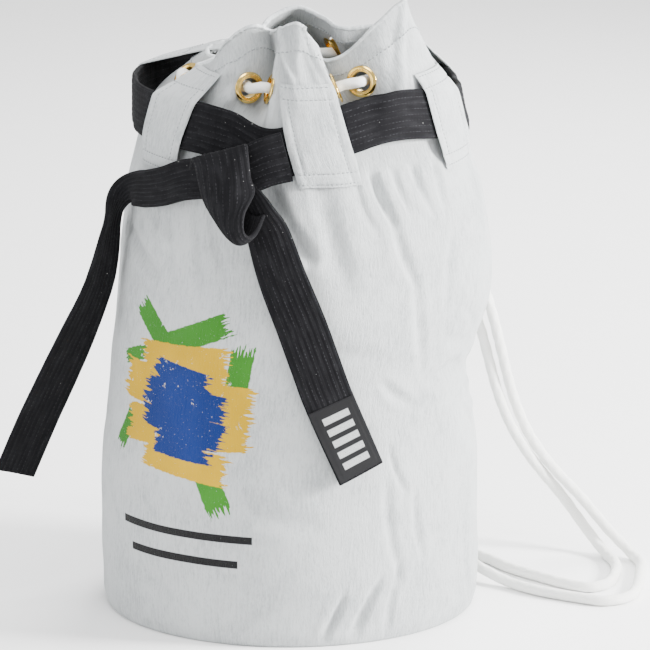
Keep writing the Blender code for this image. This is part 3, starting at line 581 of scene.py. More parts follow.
def belt_look():
    """Black cotton drill with rows of stitching along it and pale lint."""
    look = Look("belt_cotton", (0.0070, 0.0070, 0.0080), 0.92, sheen=0.02, gloss=0.08)
    u, v = look.uv()
    row = (v / STITCH_PITCH + 0.5 + STITCH_ROWS / 2).put("FRACT") - 0.5
    dash = ((u / STITCH_LENGTH).put("FRACT") - 0.5).put("ABSOLUTE").smooth(0.36, 0.30)
    thread = row.put("ABSOLUTE").smooth(0.09, 0.04) * dash
    edge = STITCH_PITCH * STITCH_ROWS / 2
    thread = thread * v.put("ABSOLUTE").smooth(edge + 0.0012, edge)
    twill = ((u + v) * (2 * pi / 0.0011)).put("SINE")
    fuzz = look.noise(look.stretched(u, v, 900.0, 900.0), 1.0, 3.0, 0.7)
    lint = look.noise(look.stretched(u, v, 330.0, 330.0), 1.0, 1.0, 0.5).smooth(0.785, 0.81)
    worn = look.noise(look.stretched(u, v, 45.0, 160.0), 1.0, 4.0, 0.6).smooth(0.42, 0.75)
    coat = look.mix(worn * 0.55, (0.0060, 0.0060, 0.0070), (0.017, 0.017, 0.0190))
    patchy = look.noise(look.stretched(u, v, 60.0, 130.0), 1.0, 2.0, 0.5).smooth(0.42, 0.60)
    coat = look.mix(thread * fuzz.smooth(0.42, 0.60) * (patchy * 0.8 + 0.2), coat, (0.036, 0.036, 0.040))
    coat = look.mix(lint * 0.8, coat, (0.30, 0.30, 0.29))
    look.set("Base Color", coat)
    look.bump(thread * 0.5 + twill * 0.12 + fuzz * 0.45, 0.6, 0.0007)
    return look.mat


def label_look():
    """Woven label: a close satin ground and five plain pale bars across it."""
    look = Look("woven_label", (0.008, 0.008, 0.009), 0.70, sheen=0.03, gloss=0.12)
    u, v = look.uv()
    ribs = (u * (2 * pi / 0.0007)).put("SINE")
    fuzz = look.noise(look.stretched(u, v, 1400.0, 2600.0), 1.0, 3.0, 0.7)
    bars = union((u - (0.0110 + 0.0100 * bar)).put("ABSOLUTE").smooth(0.0031, 0.0026) for bar in range(5))
    bars = bars * v.put("ABSOLUTE").smooth(0.0115, 0.0110) * fuzz.smooth(0.36, 0.48)
    ground = look.mix(fuzz, (0.006, 0.006, 0.007), (0.014, 0.014, 0.015))
    look.set("Base Color", look.mix(bars, ground, (0.42, 0.43, 0.43)))
    look.bump(ribs * 0.2 + fuzz * 0.4 + bars * 0.5, 0.5, 0.0004)
    return look.mat


def rope_look():
    """White cotton strands with fine fibres along them."""
    look = Look("braided_cotton", (0.83, 0.83, 0.81), 0.80, sheen=0.25, gloss=0.2)
    u, v = look.uv()
    fibres = look.noise(look.stretched(u + v * 0.8, v - u * 0.3, 900.0, 3200.0), 1.0, 3.0, 0.6)
    look.set("Base Color", look.mix(fibres.smooth(0.3, 0.65), (0.66, 0.66, 0.63), (0.87, 0.87, 0.85)))
    look.bump(fibres, 0.5, 0.0005)
    return look.mat


def shaded_thread_look():
    """Twisted sewing thread, painted greyer than the canvas: its grey is painted shade of the stitch dimples and
    needle holes, and its light and dark along the twist is the thread's own.
    """
    look = Look("sewing_thread_painted_shade", (0.60, 0.61, 0.61), 0.6, sheen=0.1, gloss=0.2)
    twist = look.noise(look.place(), 1600.0, 2.0)
    # Both greys are painted shade of the sunken stitches, darker than the thread itself; the mix between them
    # follows the twist.
    look.set("Base Color", look.mix(twist.smooth(0.3, 0.7), (0.18, 0.20, 0.21), (0.46, 0.48, 0.49)))
    look.bump(twist, 0.4, 0.0002)
    return look.mat


def brass_look():
    """Bright rolled brass, a little uneven, with fine turning marks and duller places."""
    look = Look("polished_brass", (0.83, 0.58, 0.17), 0.16, metallic=1.0)
    haze = look.noise(look.place(), 210.0, 4.0, 0.6)
    look.set("Base Color", look.mix(haze.smooth(0.35, 0.70), (0.86, 0.62, 0.20), (0.70, 0.45, 0.10)))
    look.set("Roughness", haze * 0.20 + 0.08)
    look.bump(look.noise(look.place(), 900.0, 3.0), 0.10, 0.0002)
    return look.mat


CLOTH_WALL, CLOTH = wall_look(), canvas_look("canvas_plain")[0].mat
TAPE = canvas_look("cotton_tape", grain=0.6)[0].mat
BELT, LABEL, ROPE, THREAD_PAINTED_SHADE, BRASS = belt_look(), label_look(), rope_look(), shaded_thread_look(), brass_look()

# ---- rope -----------------------------------------------------------------------------------------
ROPE_RADIUS = 0.0042
ROPE_STRAIGHT = 0.008       # straight rope on either side of an eyelet
ROPE_STEP = 0.0013
KNOT_SIZE, KNOT_ROPE_RADIUS = 0.00285, 0.0039
BACK_VALLEY = 3
STRAP_RIGHT = [(0.073, 0.094, 0.438), (0.079, 0.110, 0.434), (0.086, 0.124, 0.410), (0.092, 0.129, 0.378),
               (0.106, 0.130, 0.338), (0.128, 0.126, 0.290), (0.159, 0.120, 0.218), (0.182, 0.138, 0.126),
               (0.204, 0.139, 0.081), (0.238, 0.130, 0.044), (0.258, 0.120, 0.022), (0.277, 0.105, 0.0055),
               (0.284, 0.080, 0.0046), (0.283, 0.054, 0.0046), (0.279, 0.008, 0.0046), (0.271, -0.018, 0.0046),
               (0.252, -0.029, 0.0046), (0.228, -0.018, 0.0046), (0.200, 0.000, 0.0046), (0.178, 0.021, 0.005),
               (0.161, 0.036, 0.009), (0.1485, 0.054, 0.0115), (0.1382, 0.0741, 0.012), (0.1274, 0.0943, 0.012)]
STRAP_LEFT = [(0.053, 0.098, 0.440), (0.059, 0.115, 0.438), (0.063, 0.130, 0.427), (0.066, 0.138, 0.405),
              (0.070, 0.142, 0.378), (0.082, 0.143, 0.338), (0.108, 0.141, 0.288), (0.145, 0.131, 0.218),
              (0.170, 0.136, 0.128), (0.191, 0.138, 0.084), (0.222, 0.137, 0.044), (0.242, 0.128, 0.018),
              (0.256, 0.108, 0.0048), (0.263, 0.082, 0.0046), (0.263, 0.054, 0.0046), (0.256, 0.022, 0.0046),
              (0.241, 0.010, 0.0046), (0.222, 0.020, 0.0046), (0.203, 0.039, 0.0046), (0.178, 0.066, 0.0046),
              (0.158, 0.097, 0.0046), (0.136, 0.119, 0.0046), (0.106, 0.133, 0.006), (0.080, 0.141, 0.010),
              (0.0617, 0.1454, 0.012), (0.0406, 0.1515, 0.012), (0.0179, 0.1575, 0.012)]
STOPPER_RIGHT = ((0.12287, 0.10681, 0.0125), (0.1274, 0.0943, 0.012))
STOPPER_LEFT = ((0.0057, 0.1627, 0.0125), (0.0179, 0.1575, 0.012))


def braided(s, a):
    """Eight strands laid over and under each other: a diamond pattern of small humps."""
    lay = 2 * pi / 0.0150
    one, two = np.cos(4 * (a + s * lay / 4)), np.cos(4 * (a - s * lay / 4))
    return 1.0 + 0.055 * np.maximum(one, two) - 0.012


def eyelet_places():
    """Seam angle, centre and outward direction of every eyelet."""
    places = [(seam, NECK_Z + 0.1 * seam_rings(seam)[2]) for seam in EYELET_SEAMS]
    return [(seam, wall_point(seam, v), wall_normal(seam, v)) for seam, v in places]


EYELETS = eyelet_places()


def drawcord_route():
    """In and out of the eyelets: outside across each valley, inside behind each ridge."""
    order = [(2 * BACK_VALLEY + k) % len(EYELETS) for k in range(len(EYELETS))]
    mids = [EYELETS[i][1] - EYELETS[i][2] * WALL / 2 for i in order]
    route = []
    for k, index in enumerate(order):
        normal = EYELETS[index][2]
        gaps = [(mids[k] - mids[j]).length / 3 for j in (k - 1, k + 1) if 0 <= j < len(mids)]
        straight = min(ROPE_STRAIGHT, *gaps)
        passage = [mids[k] + normal * straight, mids[k], mids[k] - normal * straight]
        route += passage if k % 2 == 0 else passage[::-1]
    return route


def strap_start(index):
    """Where a strap leaves its eyelet, and the way it points."""
    _, centre, normal = EYELETS[index]
    return centre - normal * WALL / 2 + normal * (ROPE_STRAIGHT + 0.0010), normal


def overhand_knot(name, centre, rope_end):
    """A tight overhand knot in the strap's own rope."""
    middle, end = beside(*centre), beside(*rope_end)
    line = (middle - end).normalized()
    turn = line.to_track_quat("Z", "Y").to_matrix()
    points = []
    for i in range(97):
        t = 2 * pi * i / 96 * 0.985
        shape = Vector((sin(t) + 2 * sin(2 * t), cos(t) - 2 * cos(2 * t), -1.6 * sin(3 * t)))
        points.append(middle + turn @ (shape * KNOT_SIZE))
    return tube(name, points, KNOT_ROPE_RADIUS, ROPE, braid=braided)


def make_ropes():
    """The two straps with their end knots, and the drawcord between them."""
    for name, index, rest, knot in (("strap_rope_right", 2 * BACK_VALLEY - 1, STRAP_RIGHT, STOPPER_RIGHT),
                                    ("strap_rope_left", 2 * BACK_VALLEY, STRAP_LEFT, STOPPER_LEFT)):
        start, out = strap_start(index)
        route = smooth_route([start, start + out * 0.004] + [beside(*p) for p in rest], ROPE_STEP)
        piece = tube(name + "_braid", route, ROPE_RADIUS, ROPE, sides=20, braid=braided)
        knot_name = name.replace("strap_rope", "stopper_knot")
        tied = overhand_knot(knot_name + "_tied", *knot)
        for obj, node in ((piece, name), (tied, knot_name)):
            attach(obj, BAG)
            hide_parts(node)
    route = smooth_route(drawcord_route(), ROPE_STEP)
    cord = tube("drawcord_braid", route, ROPE_RADIUS, ROPE, sides=20, braid=braided)
    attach(cord, BAG)
    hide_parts("drawcord")


make_ropes()

# ---- the canvas -----------------------------------------------------------------------------------
CANVAS_THICK = 0.0016
WALL_COLUMNS = 480
ROWS_BELOW, ROWS_ABOVE = 190, 52
SEAM_METRES = SEAM_RADIUS * pi / 180      # cloth per degree of seam angle
FLAP_HEIGHT = 0.09
FOOT_TUCK = 0.0010                        # how far the lowest edge is drawn in
HOLE_RADIUS, HOLE_REACH = 0.0094, 0.012   # the room cut free round each eyelet

# Creases: the angle and height of both ends, half-width and depth. A negative depth is a raised fold.
CREASES = [
    (63.5, 0.384, 68.0, 0.342, 0.0075, 0.0042), (68.0, 0.342, 74.0, 0.292, 0.0065, 0.0030),
    (74.0, 0.292, 80.5, 0.222, 0.0060, 0.0018), (60.0, 0.384, 64.0, 0.340, 0.0060, -0.0026),
    (71.5, 0.384, 74.0, 0.350, 0.0050, 0.0026), (80.0, 0.388, 84.0, 0.345, 0.0060, 0.0030),
    (76.0, 0.386, 79.0, 0.352, 0.0050, -0.0022), (91.0, 0.388, 90.0, 0.345, 0.0070, 0.0032),
    (27.0, 0.380, 33.0, 0.345, 0.0100, 0.0062), (33.0, 0.345, 40.0, 0.316, 0.0100, 0.0050),
    (22.0, 0.372, 24.0, 0.330, 0.0070, -0.0022), (44.0, 0.372, 51.0, 0.296, 0.0120, 0.0022),
    (66.0, 0.212, 77.0, 0.192, 0.0050, 0.0024), (69.5, 0.158, 75.5, 0.122, 0.0040, 0.0026),
    (69.0, 0.128, 74.5, 0.045, 0.0060, 0.0024), (74.0, 0.060, 69.0, 0.008, 0.0055, 0.0026),
    (79.5, 0.115, 82.5, 0.066, 0.0050, 0.0024), (67.0, 0.052, 58.0, 0.006, 0.0060, 0.0034),
    (48.0, 0.004, 54.5, 0.042, 0.0050, 0.0026), (62.0, 0.040, 50.0, 0.004, 0.0060, -0.0018),
    (102.0, 0.212, 86.0, 0.205, 0.0080, 0.0034), (104.0, 0.236, 90.0, 0.250, 0.0080, -0.0024),
    (91.5, 0.320, 87.0, 0.268, 0.0060, 0.0018), (-38.0, 0.322, -16.0, 0.292, 0.0090, 0.0036),
    (-30.0, 0.338, -8.0, 0.316, 0.0070, -0.0020), (-12.0, 0.350, -6.0, 0.272, 0.0060, 0.0024),
    (-4.0, 0.352, 0.0, 0.290, 0.0060, -0.0016), (1.0, 0.358, 5.5, 0.280, 0.0055, 0.0022),
    (-20.0, 0.352, -16.0, 0.320, 0.0060, 0.0020), (8.0, 0.350, 12.0, 0.300, 0.0070, 0.0016),
    (38.0, 0.250, 62.0, 0.236, 0.0090, 0.0012), (18.0, 0.120, 44.0, 0.102, 0.0100, 0.0012),
    (-24.0, 0.060, 8.0, 0.040, 0.0110, 0.0012), (30.0, 0.030, 14.0, 0.008, 0.0070, 0.0014),
    (118.0, 0.205, 138.0, 0.185, 0.0090, 0.0036), (112.0, 0.180, 132.0, 0.160, 0.0090, -0.0026),
    (146.0, 0.384, 150.0, 0.330, 0.0070, 0.0030), (166.0, 0.384, 162.0, 0.322, 0.0070, 0.0030),
    (205.0, 0.384, 209.0, 0.330, 0.0070, 0.0030), (228.0, 0.384, 224.0, 0.316, 0.0080, 0.0034),
    (262.0, 0.382, 268.0, 0.326, 0.0070, 0.0030), (290.0, 0.380, 284.0, 0.318, 0.0080, 0.0032),
    (304.0, 0.376, 310.0, 0.300, 0.0070, 0.0028), (326.0, 0.360, 320.0, 0.290, 0.0070, 0.0026),
    (176.0, 0.250, 206.0, 0.210, 0.0110, 0.0022), (230.0, 0.180, 262.0, 0.150, 0.0110, 0.0020),
    (196.0, 0.110, 172.0, 0.070, 0.0100, 0.0022), (252.0, 0.090, 240.0, 0.010, 0.0070, 0.0024),
    (150.0, 0.080, 158.0, 0.008, 0.0070, 0.0026), (106.0, 0.070, 112.0, 0.008, 0.0070, 0.0028),
    (288.0, 0.080, 296.0, 0.008, 0.0070, 0.0022), (210.0, 0.060, 216.0, 0.006, 0.0070, 0.0024)]


# Folds of the flaps above the neck, placed by seam angle and height over the neck.
FLAP_CREASES = [
    (24.0, 0.494, 34.0, 0.452, 0.0040, -0.0030), (24.0, 0.490, 23.0, 0.420, 0.0035, -0.0026),
    (44.0, 0.494, 57.0, 0.446, 0.0045, -0.0024), (40.0, 0.476, 44.0, 0.452, 0.0090, 0.0020),
    (98.0, 0.500, 84.0, 0.440, 0.0050, -0.0020), (88.0, 0.470, 104.0, 0.448, 0.0080, 0.0018),
    (-4.0, 0.478, -14.0, 0.424, 0.0050, -0.0022), (-8.0, 0.462, 2.0, 0.450, 0.0080, 0.0020),
    (343.0, 0.460, 350.0, 0.415, 0.0060, 0.0020), (150.0, 0.456, 158.0, 0.420, 0.0060, -0.0020),
    (166.0, 0.452, 172.0, 0.420, 0.0060, 0.0018), (214.0, 0.460, 222.0, 0.418, 0.0060, -0.0020),
    (232.0, 0.452, 236.0, 0.416, 0.0060, 0.0020), (272.0, 0.444, 280.0, 0.416, 0.0060, -0.0018)]


def crease_field(angle, z, creases, narrow=1.0, gain=1.0):
    """Height of a table of creases: each dips along a slightly bent line, with a swell on both sides."""
    total = np.zeros_like(angle)
    for a0, z0, a1, z1, half, depth in creases:
        x, y = turn_between(angle, a0) * SEAM_METRES, z - z0
        dx, dy = (a1 - a0) * SEAM_METRES, z1 - z0
        run = sqrt(dx * dx + dy * dy)
        t = (x * dx + y * dy) / run ** 2
        across = (y * dx - x * dy) / run + 0.12 * run * np.sin(np.clip(t, 0, 1) * pi) * 0.35
        taper = np.where((t > -0.15) & (t < 1.15), np.sin(np.clip((t + 0.15) / 1.3, 0, 1) * pi) ** 0.8, 0.0)
        width = half * narrow * (0.62 + 0.38 * taper)
        dip = np.exp(-(across / width) ** 2) - 0.45 * np.exp(-((np.abs(across) - 1.9 * width) / width) ** 2)
        total -= depth * gain * taper * dip
    return total


def wall_relief(angle, z, share):
    """Height of the cloth over the smooth wall. share is 0 below the neck and runs to 1 at the rim."""
    ring = np.radians(angle)
    x, y = np.cos(ring) * SEAM_RADIUS, np.sin(ring) * SEAM_RADIUS
    broad = value_noise(x * 38 + z * 7, y * 38 - z * 5, z * 30)
    medium = value_noise(x * 95 + 4, y * 95 + z * 30, z * 70)
    fine = value_noise(x * 260 + z * 60, y * 260 - z * 40, z * 150)
    sag = smooth_step(0.0, 0.03, z) * (1 - smooth_step(0.36, 0.39, z))
    relief = sag * (0.0013 * broad + 0.00065 * medium) + 0.00016 * fine
    below = smooth_step(0.270, 0.372, z) * (1 - share)
    gathers = np.sin(ring * 23 + 0.8 * np.sin(ring * 5)) * value_noise(x * 60, y * 60, z * 9)
    relief += below * 0.0016 * gathers
    upper = smooth_step(0.0, 0.25, share)
    relief += upper * (0.0011 * medium + 0.0010 * value_noise(x * 60 + 9, y * 60, z * 44) * (1 - 0.4 * share))
    relief += crease_field(angle, z, CREASES, 0.82, 1.3) * (1 - upper)
    flap = crease_field(angle, z, FLAP_CREASES) * upper
    foot = smooth_step(0.0, 0.014, z)
    under_belt = smooth_step(0.3775, 0.386, z) * (1 - smooth_step(0.0, 0.22, share))
    relief = relief * foot * (1 - under_belt) - 0.0011 * under_belt
    return np.minimum(relief, 0.0009) - 0.0004 * foot * (1 - share) + flap


def make_bag_wall():
    """The printed canvas from the base up to the rim, as one closed skin with a hole at each eyelet."""
    angles = 360.0 * np.arange(WALL_COLUMNS) / WALL_COLUMNS
    low = np.concatenate([[0.0, 0.0012, 0.0030, 0.0055], np.linspace(0.009, NECK_Z, ROWS_BELOW)])
    high = NECK_Z + 0.1 * np.linspace(0, 1, ROWS_ABOVE + 1)[1:]
    rows = np.concatenate([low, high])
    base = np.array([[wall_point(a, v) for v in rows] for a in angles], float)
    normals = grid_normals(base, closed=True)
    share = np.clip((rows - NECK_Z) * 10, 0, 1)
    a_grid, v_grid = np.meshgrid(angles, np.minimum(rows, NECK_Z), indexing="ij")
    s_grid = np.broadcast_to(share, a_grid.shape)
    relief = wall_relief(a_grid, v_grid + s_grid * FLAP_HEIGHT, s_grid)
    foot = rows < 0.004
    normals[:, foot, 2] = 0.0
    normals = unit(normals)
    outer = base + normals * relief[..., None]
    outer[:, 0, :2] -= normals[:, 0, :2] * FOOT_TUCK
    outer[..., 2] = np.maximum(outer[..., 2], 0.0)
    inner_normals = grid_normals(outer, closed=True)
    inner_normals[:, foot, 2] = 0.0
    inner = outer - unit(inner_normals) * CANVAS_THICK
    inner[..., 2] = np.maximum(inner[..., 2], 0.0)
    mean_steps = np.linalg.norm(np.diff(base, axis=1), axis=2).mean(axis=0)
    cloth = np.concatenate([[0], np.cumsum(mean_steps)])
    us = np.append(angles, 360.0) * SEAM_METRES
    wall = shell("bag_wall_canvas", outer, inner, CLOTH_WALL, closed=True, us=us, vs=cloth)
    cut_eyelets(wall, outer)
    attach(wall, BAG)
    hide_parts("bag_wall")
    return outer, inner, angles, rows


def cut_eyelets(wall, outer):
    """Remove the cells under each eyelet's flange and close the cut edge between the two skins."""
    n, m = outer.shape[:2]
    bm = bmesh.new()
    bm.from_mesh(wall.data)
    bm.verts.ensure_lookup_table()
    flat_outer = outer.reshape(-1, 3)
    gone = set()
    for _, centre, direction in EYELETS:
        normal = np.array(direction)
        away = flat_outer - np.array(centre)
        depth = away @ normal
        radial = np.linalg.norm(away - depth[:, None] * normal, axis=1)
        gone.update(np.nonzero((radial < HOLE_RADIUS) & (np.abs(depth) < HOLE_REACH))[0].tolist())
    cells = {(i // m + di) % n * m + i % m + dk for i in gone for di in (-1, 0) for dk in (-1, 0)}
    base = n * m
    cells = {c for c in cells if 0 <= c % m < m - 1}
    doomed = []
    for face in bm.faces:
        ids = [v.index for v in face.verts]
        if len({i >= base for i in ids}) != 1 or len(ids) != 4:
            continue
        local = [i % base for i in ids]
        cols, heights = {i // m for i in local}, [i % m for i in local]
        first = max(cols) if cols == {0, n - 1} else min(cols)
        if first * m + min(heights) in cells and len(set(heights)) == 2:
            doomed.append(face)
    edges = {}
    for face in doomed:
        for edge in face.edges:
            edges[edge] = edges.get(edge, 0) + 1
    rim = [tuple(v.index for v in e.verts) for e, count in edges.items() if count == 1]
    rim_outer = [pair for pair in rim if max(pair) < base]
    bmesh.ops.delete(bm, geom=doomed, context="FACES_ONLY")
    bm.verts.ensure_lookup_table()
    for a, b in rim_outer:
        bm.faces.new([bm.verts[k] for k in (a, b, b + base, a + base)])
    bmesh.ops.delete(bm, geom=[e for e in bm.edges if not e.link_faces], context="EDGES")
    bmesh.ops.delete(bm, geom=[v for v in bm.verts if not v.link_faces], context="VERTS")
    bmesh.ops.recalc_face_normals(bm, faces=bm.faces)
    bm.to_mesh(wall.data)
    bm.free()
    wall.data.shade_smooth()
    wall.data.set_sharp_from_angle(angle=radians(60))


WALL_OUTER, WALL_INNER, WALL_ANGLES, WALL_V = make_bag_wall()

# ---- belt -----------------------------------------------------------------------------------------
BELT_WIDTH, BELT_THICK = 0.040, 0.0042


def belt_columns():
    """Places across the belt, -0.5 to 0.5, close together at every stitched row and at the edges."""
    rows = [(k + 0.5 - STITCH_ROWS / 2) * STITCH_PITCH / BELT_WIDTH for k in range(STITCH_ROWS)]
    near = [d / 1000 / BELT_WIDTH for d in (-1.1, -0.5, 0.0, 0.5, 1.1)]
    edge = [0.5, 0.496, 0.484, 0.465]
    return np.array(sorted({round(r + d, 5) for r in rows for d in near} | {e * s for e in edge for s in (-1, 1)}))


ACROSS = belt_columns()


def belt_thickness(along, pinch=1.0):
    """Thickness (n, m) of the padded belt: sewn rows drawn in, soft rounded edges."""
    rows = (np.arange(STITCH_ROWS) + 0.5 - STITCH_ROWS / 2) * STITCH_PITCH
    y = ACROSS * BELT_WIDTH
    groove = sum(np.exp(-((y - r) / 0.00062) ** 2) for r in rows)
    rounded = np.sqrt(np.clip(1 - np.abs(2 * ACROSS) ** 14, 0.0, 1.0)) * 0.86 + 0.14
    dash = 0.72 + 0.28 * np.cos(2 * pi * along / STITCH_LENGTH)
    return BELT_THICK * 0.94 * rounded[None] - 0.00085 * pinch * groove[None] * dash[:, None]


def puckers(along, amount, seed=0.0):
    """Small cross pleats of a belt that is pressed lengthwise. amount is one value per point along."""
    u, y = np.meshgrid(along, ACROSS * BELT_WIDTH, indexing="ij")
    pleats = value_noise(u * 520 + seed, y * 110 + seed, 0.3) * 0.6 + value_noise(u * 240, y * 60 + seed, 2.0)
    return np.asarray(amount)[:, None] * pleats


def belt_strip(name, centres, across, width, cup, swell, seed):
    """A length of belt: middle line, direction of the width, width, cupping and puckers at each point."""
    tangent = unit(np.gradient(centres, axis=0))
    across = unit(across - tangent * np.sum(across * tangent, axis=1, keepdims=True))
    normal = np.cross(tangent, across)
    along = lengths_of(centres)
    bow = (1 - 4 * ACROSS ** 2)[None] * np.asarray(cup)[:, None]
    lift = bow + puckers(along, swell, seed)
    mids = (centres[:, None] + across[:, None] * (ACROSS[None] * np.asarray(width)[:, None])[..., None]
            + normal[:, None] * lift[..., None])
    normals = grid_normals(mids)
    return slab(name, mids, normals, belt_thickness(along), BELT, along, ACROSS * BELT_WIDTH, sharp=70.0)


def cad_rings(node):
    """Lower and upper edge of the CAD belt round the neck: angle -> inner radius and height of both."""
    found = {}
    for vert in NODES[node].data.vertices:
        p = vert.co
        lean, side = table_at_line(LEAN, p.z), radians(LEAN_ANGLE)
        x, y = p.x - lean * sin(side), p.y + lean * cos(side)
        angle = round((atan2(x, -y) * 180 / pi % 360) / 5) * 5 % 360
        found.setdefault(angle, []).append((round(p.z, 6), sqrt(x * x + y * y)))
    rings = []
    for angle in sorted(found):
        middle = sum(z for z, r in found[angle]) / len(found[angle])
        low = [(z, r) for z, r in found[angle] if z < middle]
        high = [(z, r) for z, r in found[angle] if z > middle]
        rings.append((angle, min(r for z, r in low), low[0][0], min(r for z, r in high), high[0][0]))
    return np.array(rings)


def table_at_line(table, x):
    """Value of a table at x, on straight lines between its rows."""
    return float(np.interp(x, [row[0] for row in table], [row[1] for row in table]))


def polar_line(angle, radius, z):
    """As polar, with the lean read on straight lines as the CAD model reads it."""
    a, side = np.radians(angle), radians(LEAN_ANGLE)
    lean = np.interp(z, [row[0] for row in LEAN], [row[1] for row in LEAN])
    return np.stack([radius * np.sin(a) + lean * sin(side), -radius * np.cos(a) - lean * cos(side), z], -1)


BELT_RINGS = cad_rings("belt_wrap")
BELT_RADIUS = 0.136
KNOT_ANGLE = 20.0
LOOP_ANGLES = [(upper + lower) / 2 for upper, lower in LOOPS]


def make_belt_wrap():
    """The belt round the neck, puckered at the loops and the knot."""
    n = 720
    at = np.arange(n) * len(BELT_RINGS) / n
    angle = at * 5.0
    rows = smooth_array(BELT_RINGS[:, 1:], at, closed=True)
    low = polar_line(angle, rows[:, 0] + BELT_THICK / 2, rows[:, 1])
    high = polar_line(angle, rows[:, 2] + BELT_THICK / 2, rows[:, 3])
    along = np.radians(angle) * BELT_RADIUS
    near_loop = sum(np.exp(-(turn_between(angle, a) / 13.0) ** 2) for a in LOOP_ANGLES)
    near_knot = np.exp(-(turn_between(angle, KNOT_ANGLE) / 22.0) ** 2)
    swell = 0.00012 + 0.00034 * np.clip(near_loop + 1.5 * near_knot, 0, 1.4)
    share = ACROSS + 0.5
    mids = low[:, None] * (1 - share)[None, :, None] + high[:, None] * share[None, :, None]
    normals = grid_normals(mids, closed=True)
    y = ACROSS * BELT_WIDTH
    ring = np.radians(angle)
    pleats = value_noise(np.cos(ring)[:, None] * 62 + y[None] * 60, np.sin(ring)[:, None] * 62, y[None] * 55)
    fine = value_noise(np.cos(ring)[:, None] * 150 - y[None] * 80, np.sin(ring)[:, None] * 150, 4 + y[None] * 40)
    wave = swell[:, None] * (0.55 * pleats + 0.75 * fine) + 0.00055 * near_knot[:, None] * pleats
    mids = mids + normals * np.clip(wave, -0.0006, 0.0009)[..., None]
    thick = belt_thickness(along)
    half = thick[..., None] / 2 * normals
    wrap = shell("belt_round_neck", mids + half, mids - half, BELT, closed=True,
                 us=np.append(along, 2 * pi * BELT_RADIUS), vs=y, sharp=70.0)
    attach(wrap, BAG)
    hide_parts("belt_wrap")


make_belt_wrap()

# Stations of the belt's free ends. Each ends with its width, its cupping and its puckers.
# Inside the knot: angle, height, radius.
LEFT_START = [(17.0, 0.383, 0.1445, 0.034, 0.002, 0.0004), (7.0, 0.379, 0.1455, 0.033, 0.002, 0.0004)]
# Over the bag to the left: angle, height.
LEFT_LEAD = [(-2.0, 0.374, 0.0325, 0.0030, 0.00045), (-10.0, 0.366, 0.0315, 0.0030, 0.00045),
             (-18.0, 0.360, 0.0300, 0.0030, 0.00045), (-25.0, 0.356, 0.0280, 0.0030, 0.00045)]
# Hanging: right, away, height, and the turn of its width.
LEFT_TAIL = [(-0.1395, -0.045, 0.327, 66.0, 0.031, 0.0030, 0.00040),
             (-0.1450, -0.043, 0.300, 58.0, 0.035, 0.0022, 0.00028),
             (-0.1520, -0.039, 0.270, 50.0, 0.038, 0.0014, 0.00020),
             (-0.1660, -0.036, 0.235, 42.0, 0.040, 0.0008, 0.00016),
             (-0.1840, -0.036, 0.195, 36.0, 0.040, 0.0008, 0.00016),
             (-0.2010, -0.036, 0.158, 34.0, 0.040, 0.0008, 0.00016),
             (-0.2200, -0.036, 0.113, 34.0, 0.040, 0.0008, 0.00016)]
# Hanging down the front: angle, height.
RIGHT_TAIL = [(26.5, 0.341, 0.0340, 0.0035, 0.00040), (31.0, 0.305, 0.0385, 0.0015, 0.00020),
              (37.0, 0.267, 0.0400, 0.0006, 0.00014), (43.0, 0.232, 0.0400, 0.0006, 0.00014),
              (48.2, 0.203, 0.0400, 0.0006, 0.00014), (59.0, 0.143, 0.0400, 0.0006, 0.00014)]
LEFT_STAND_OFF, RIGHT_STAND_OFF = 0.0115, 0.0062      # the belt's middle over the wall's profile


def strip_from(stations, step=0.0015):
    """Even points along a curve through (point, across, width, cup, swell) rows."""
    points = np.array([s[0] for s in stations], float)
    rows = np.array([[*s[1], *s[2:]] for s in stations], float)
    fine_at = np.linspace(0, len(points) - 1, 40 * (len(points) - 1) + 1)
    fine = smooth_ends(points, fine_at)
    lengths = lengths_of(fine)
    count = ceil(lengths[-1] / step)
    at = np.interp(np.linspace(0, lengths[-1], count + 1), lengths, fine_at)
    values = smooth_ends(rows, at)
    return smooth_ends(points, at), unit(values[:, :3]), values[:, 3], values[:, 4], values[:, 5]


def smooth_ends(values, at):
    """Catmull-Rom through rows, carried straight on past both ends."""
    padded = np.concatenate([[2 * values[0] - values[1]], values, [2 * values[-1] - values[-2]]])
    i = np.clip(np.floor(at).astype(int), 0, len(values) - 2)
    t = (at - i)[:, None]
    return catmull(padded[i], padded[i + 1], padded[i + 2], padded[i + 3], t)


def outwards(angle):
    """Level direction straight out from the bag at an angle."""
    a = radians(angle)
    return Vector((sin(a), -cos(a), 0.0))


def make_left_end():
    """The belt's end that leaves the knot to the left, turns down at the bag's side and hangs free."""
    stations = []
    for angle, z, radius, *shape in LEFT_START:
        stations.append((polar(angle, radius, z), Vector((0, 0, 1)) - outwards(angle) * 0.25, *shape))
    for angle, z, *shape in LEFT_LEAD:
        radius = table_at(PROFILE, z) + LEFT_STAND_OFF
        stations.append((polar(angle, radius, z), Vector((0, 0, 1)) - outwards(angle) * 0.22, *shape))
    stations.append((beside(-0.1310, -0.0540, 0.3480), beside(-0.30, -0.35, 0.85), 0.024, 0.003, 0.0005))
    for right, away, z, turn, *shape in LEFT_TAIL:
        t = radians(turn)
        stations.append((beside(right, away, z), -beside(cos(t), sin(t), 0.0), *shape))
    left = belt_strip("belt_end_left", *strip_from(stations), seed=3.0)
    hinge = dict(start=tuple(beside(-0.1385, -0.0405, 0.3390)), end=tuple(beside(-0.1440, -0.036, 0.296)))
    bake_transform(left)
    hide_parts("belt_lead_left", "belt_tail_left")


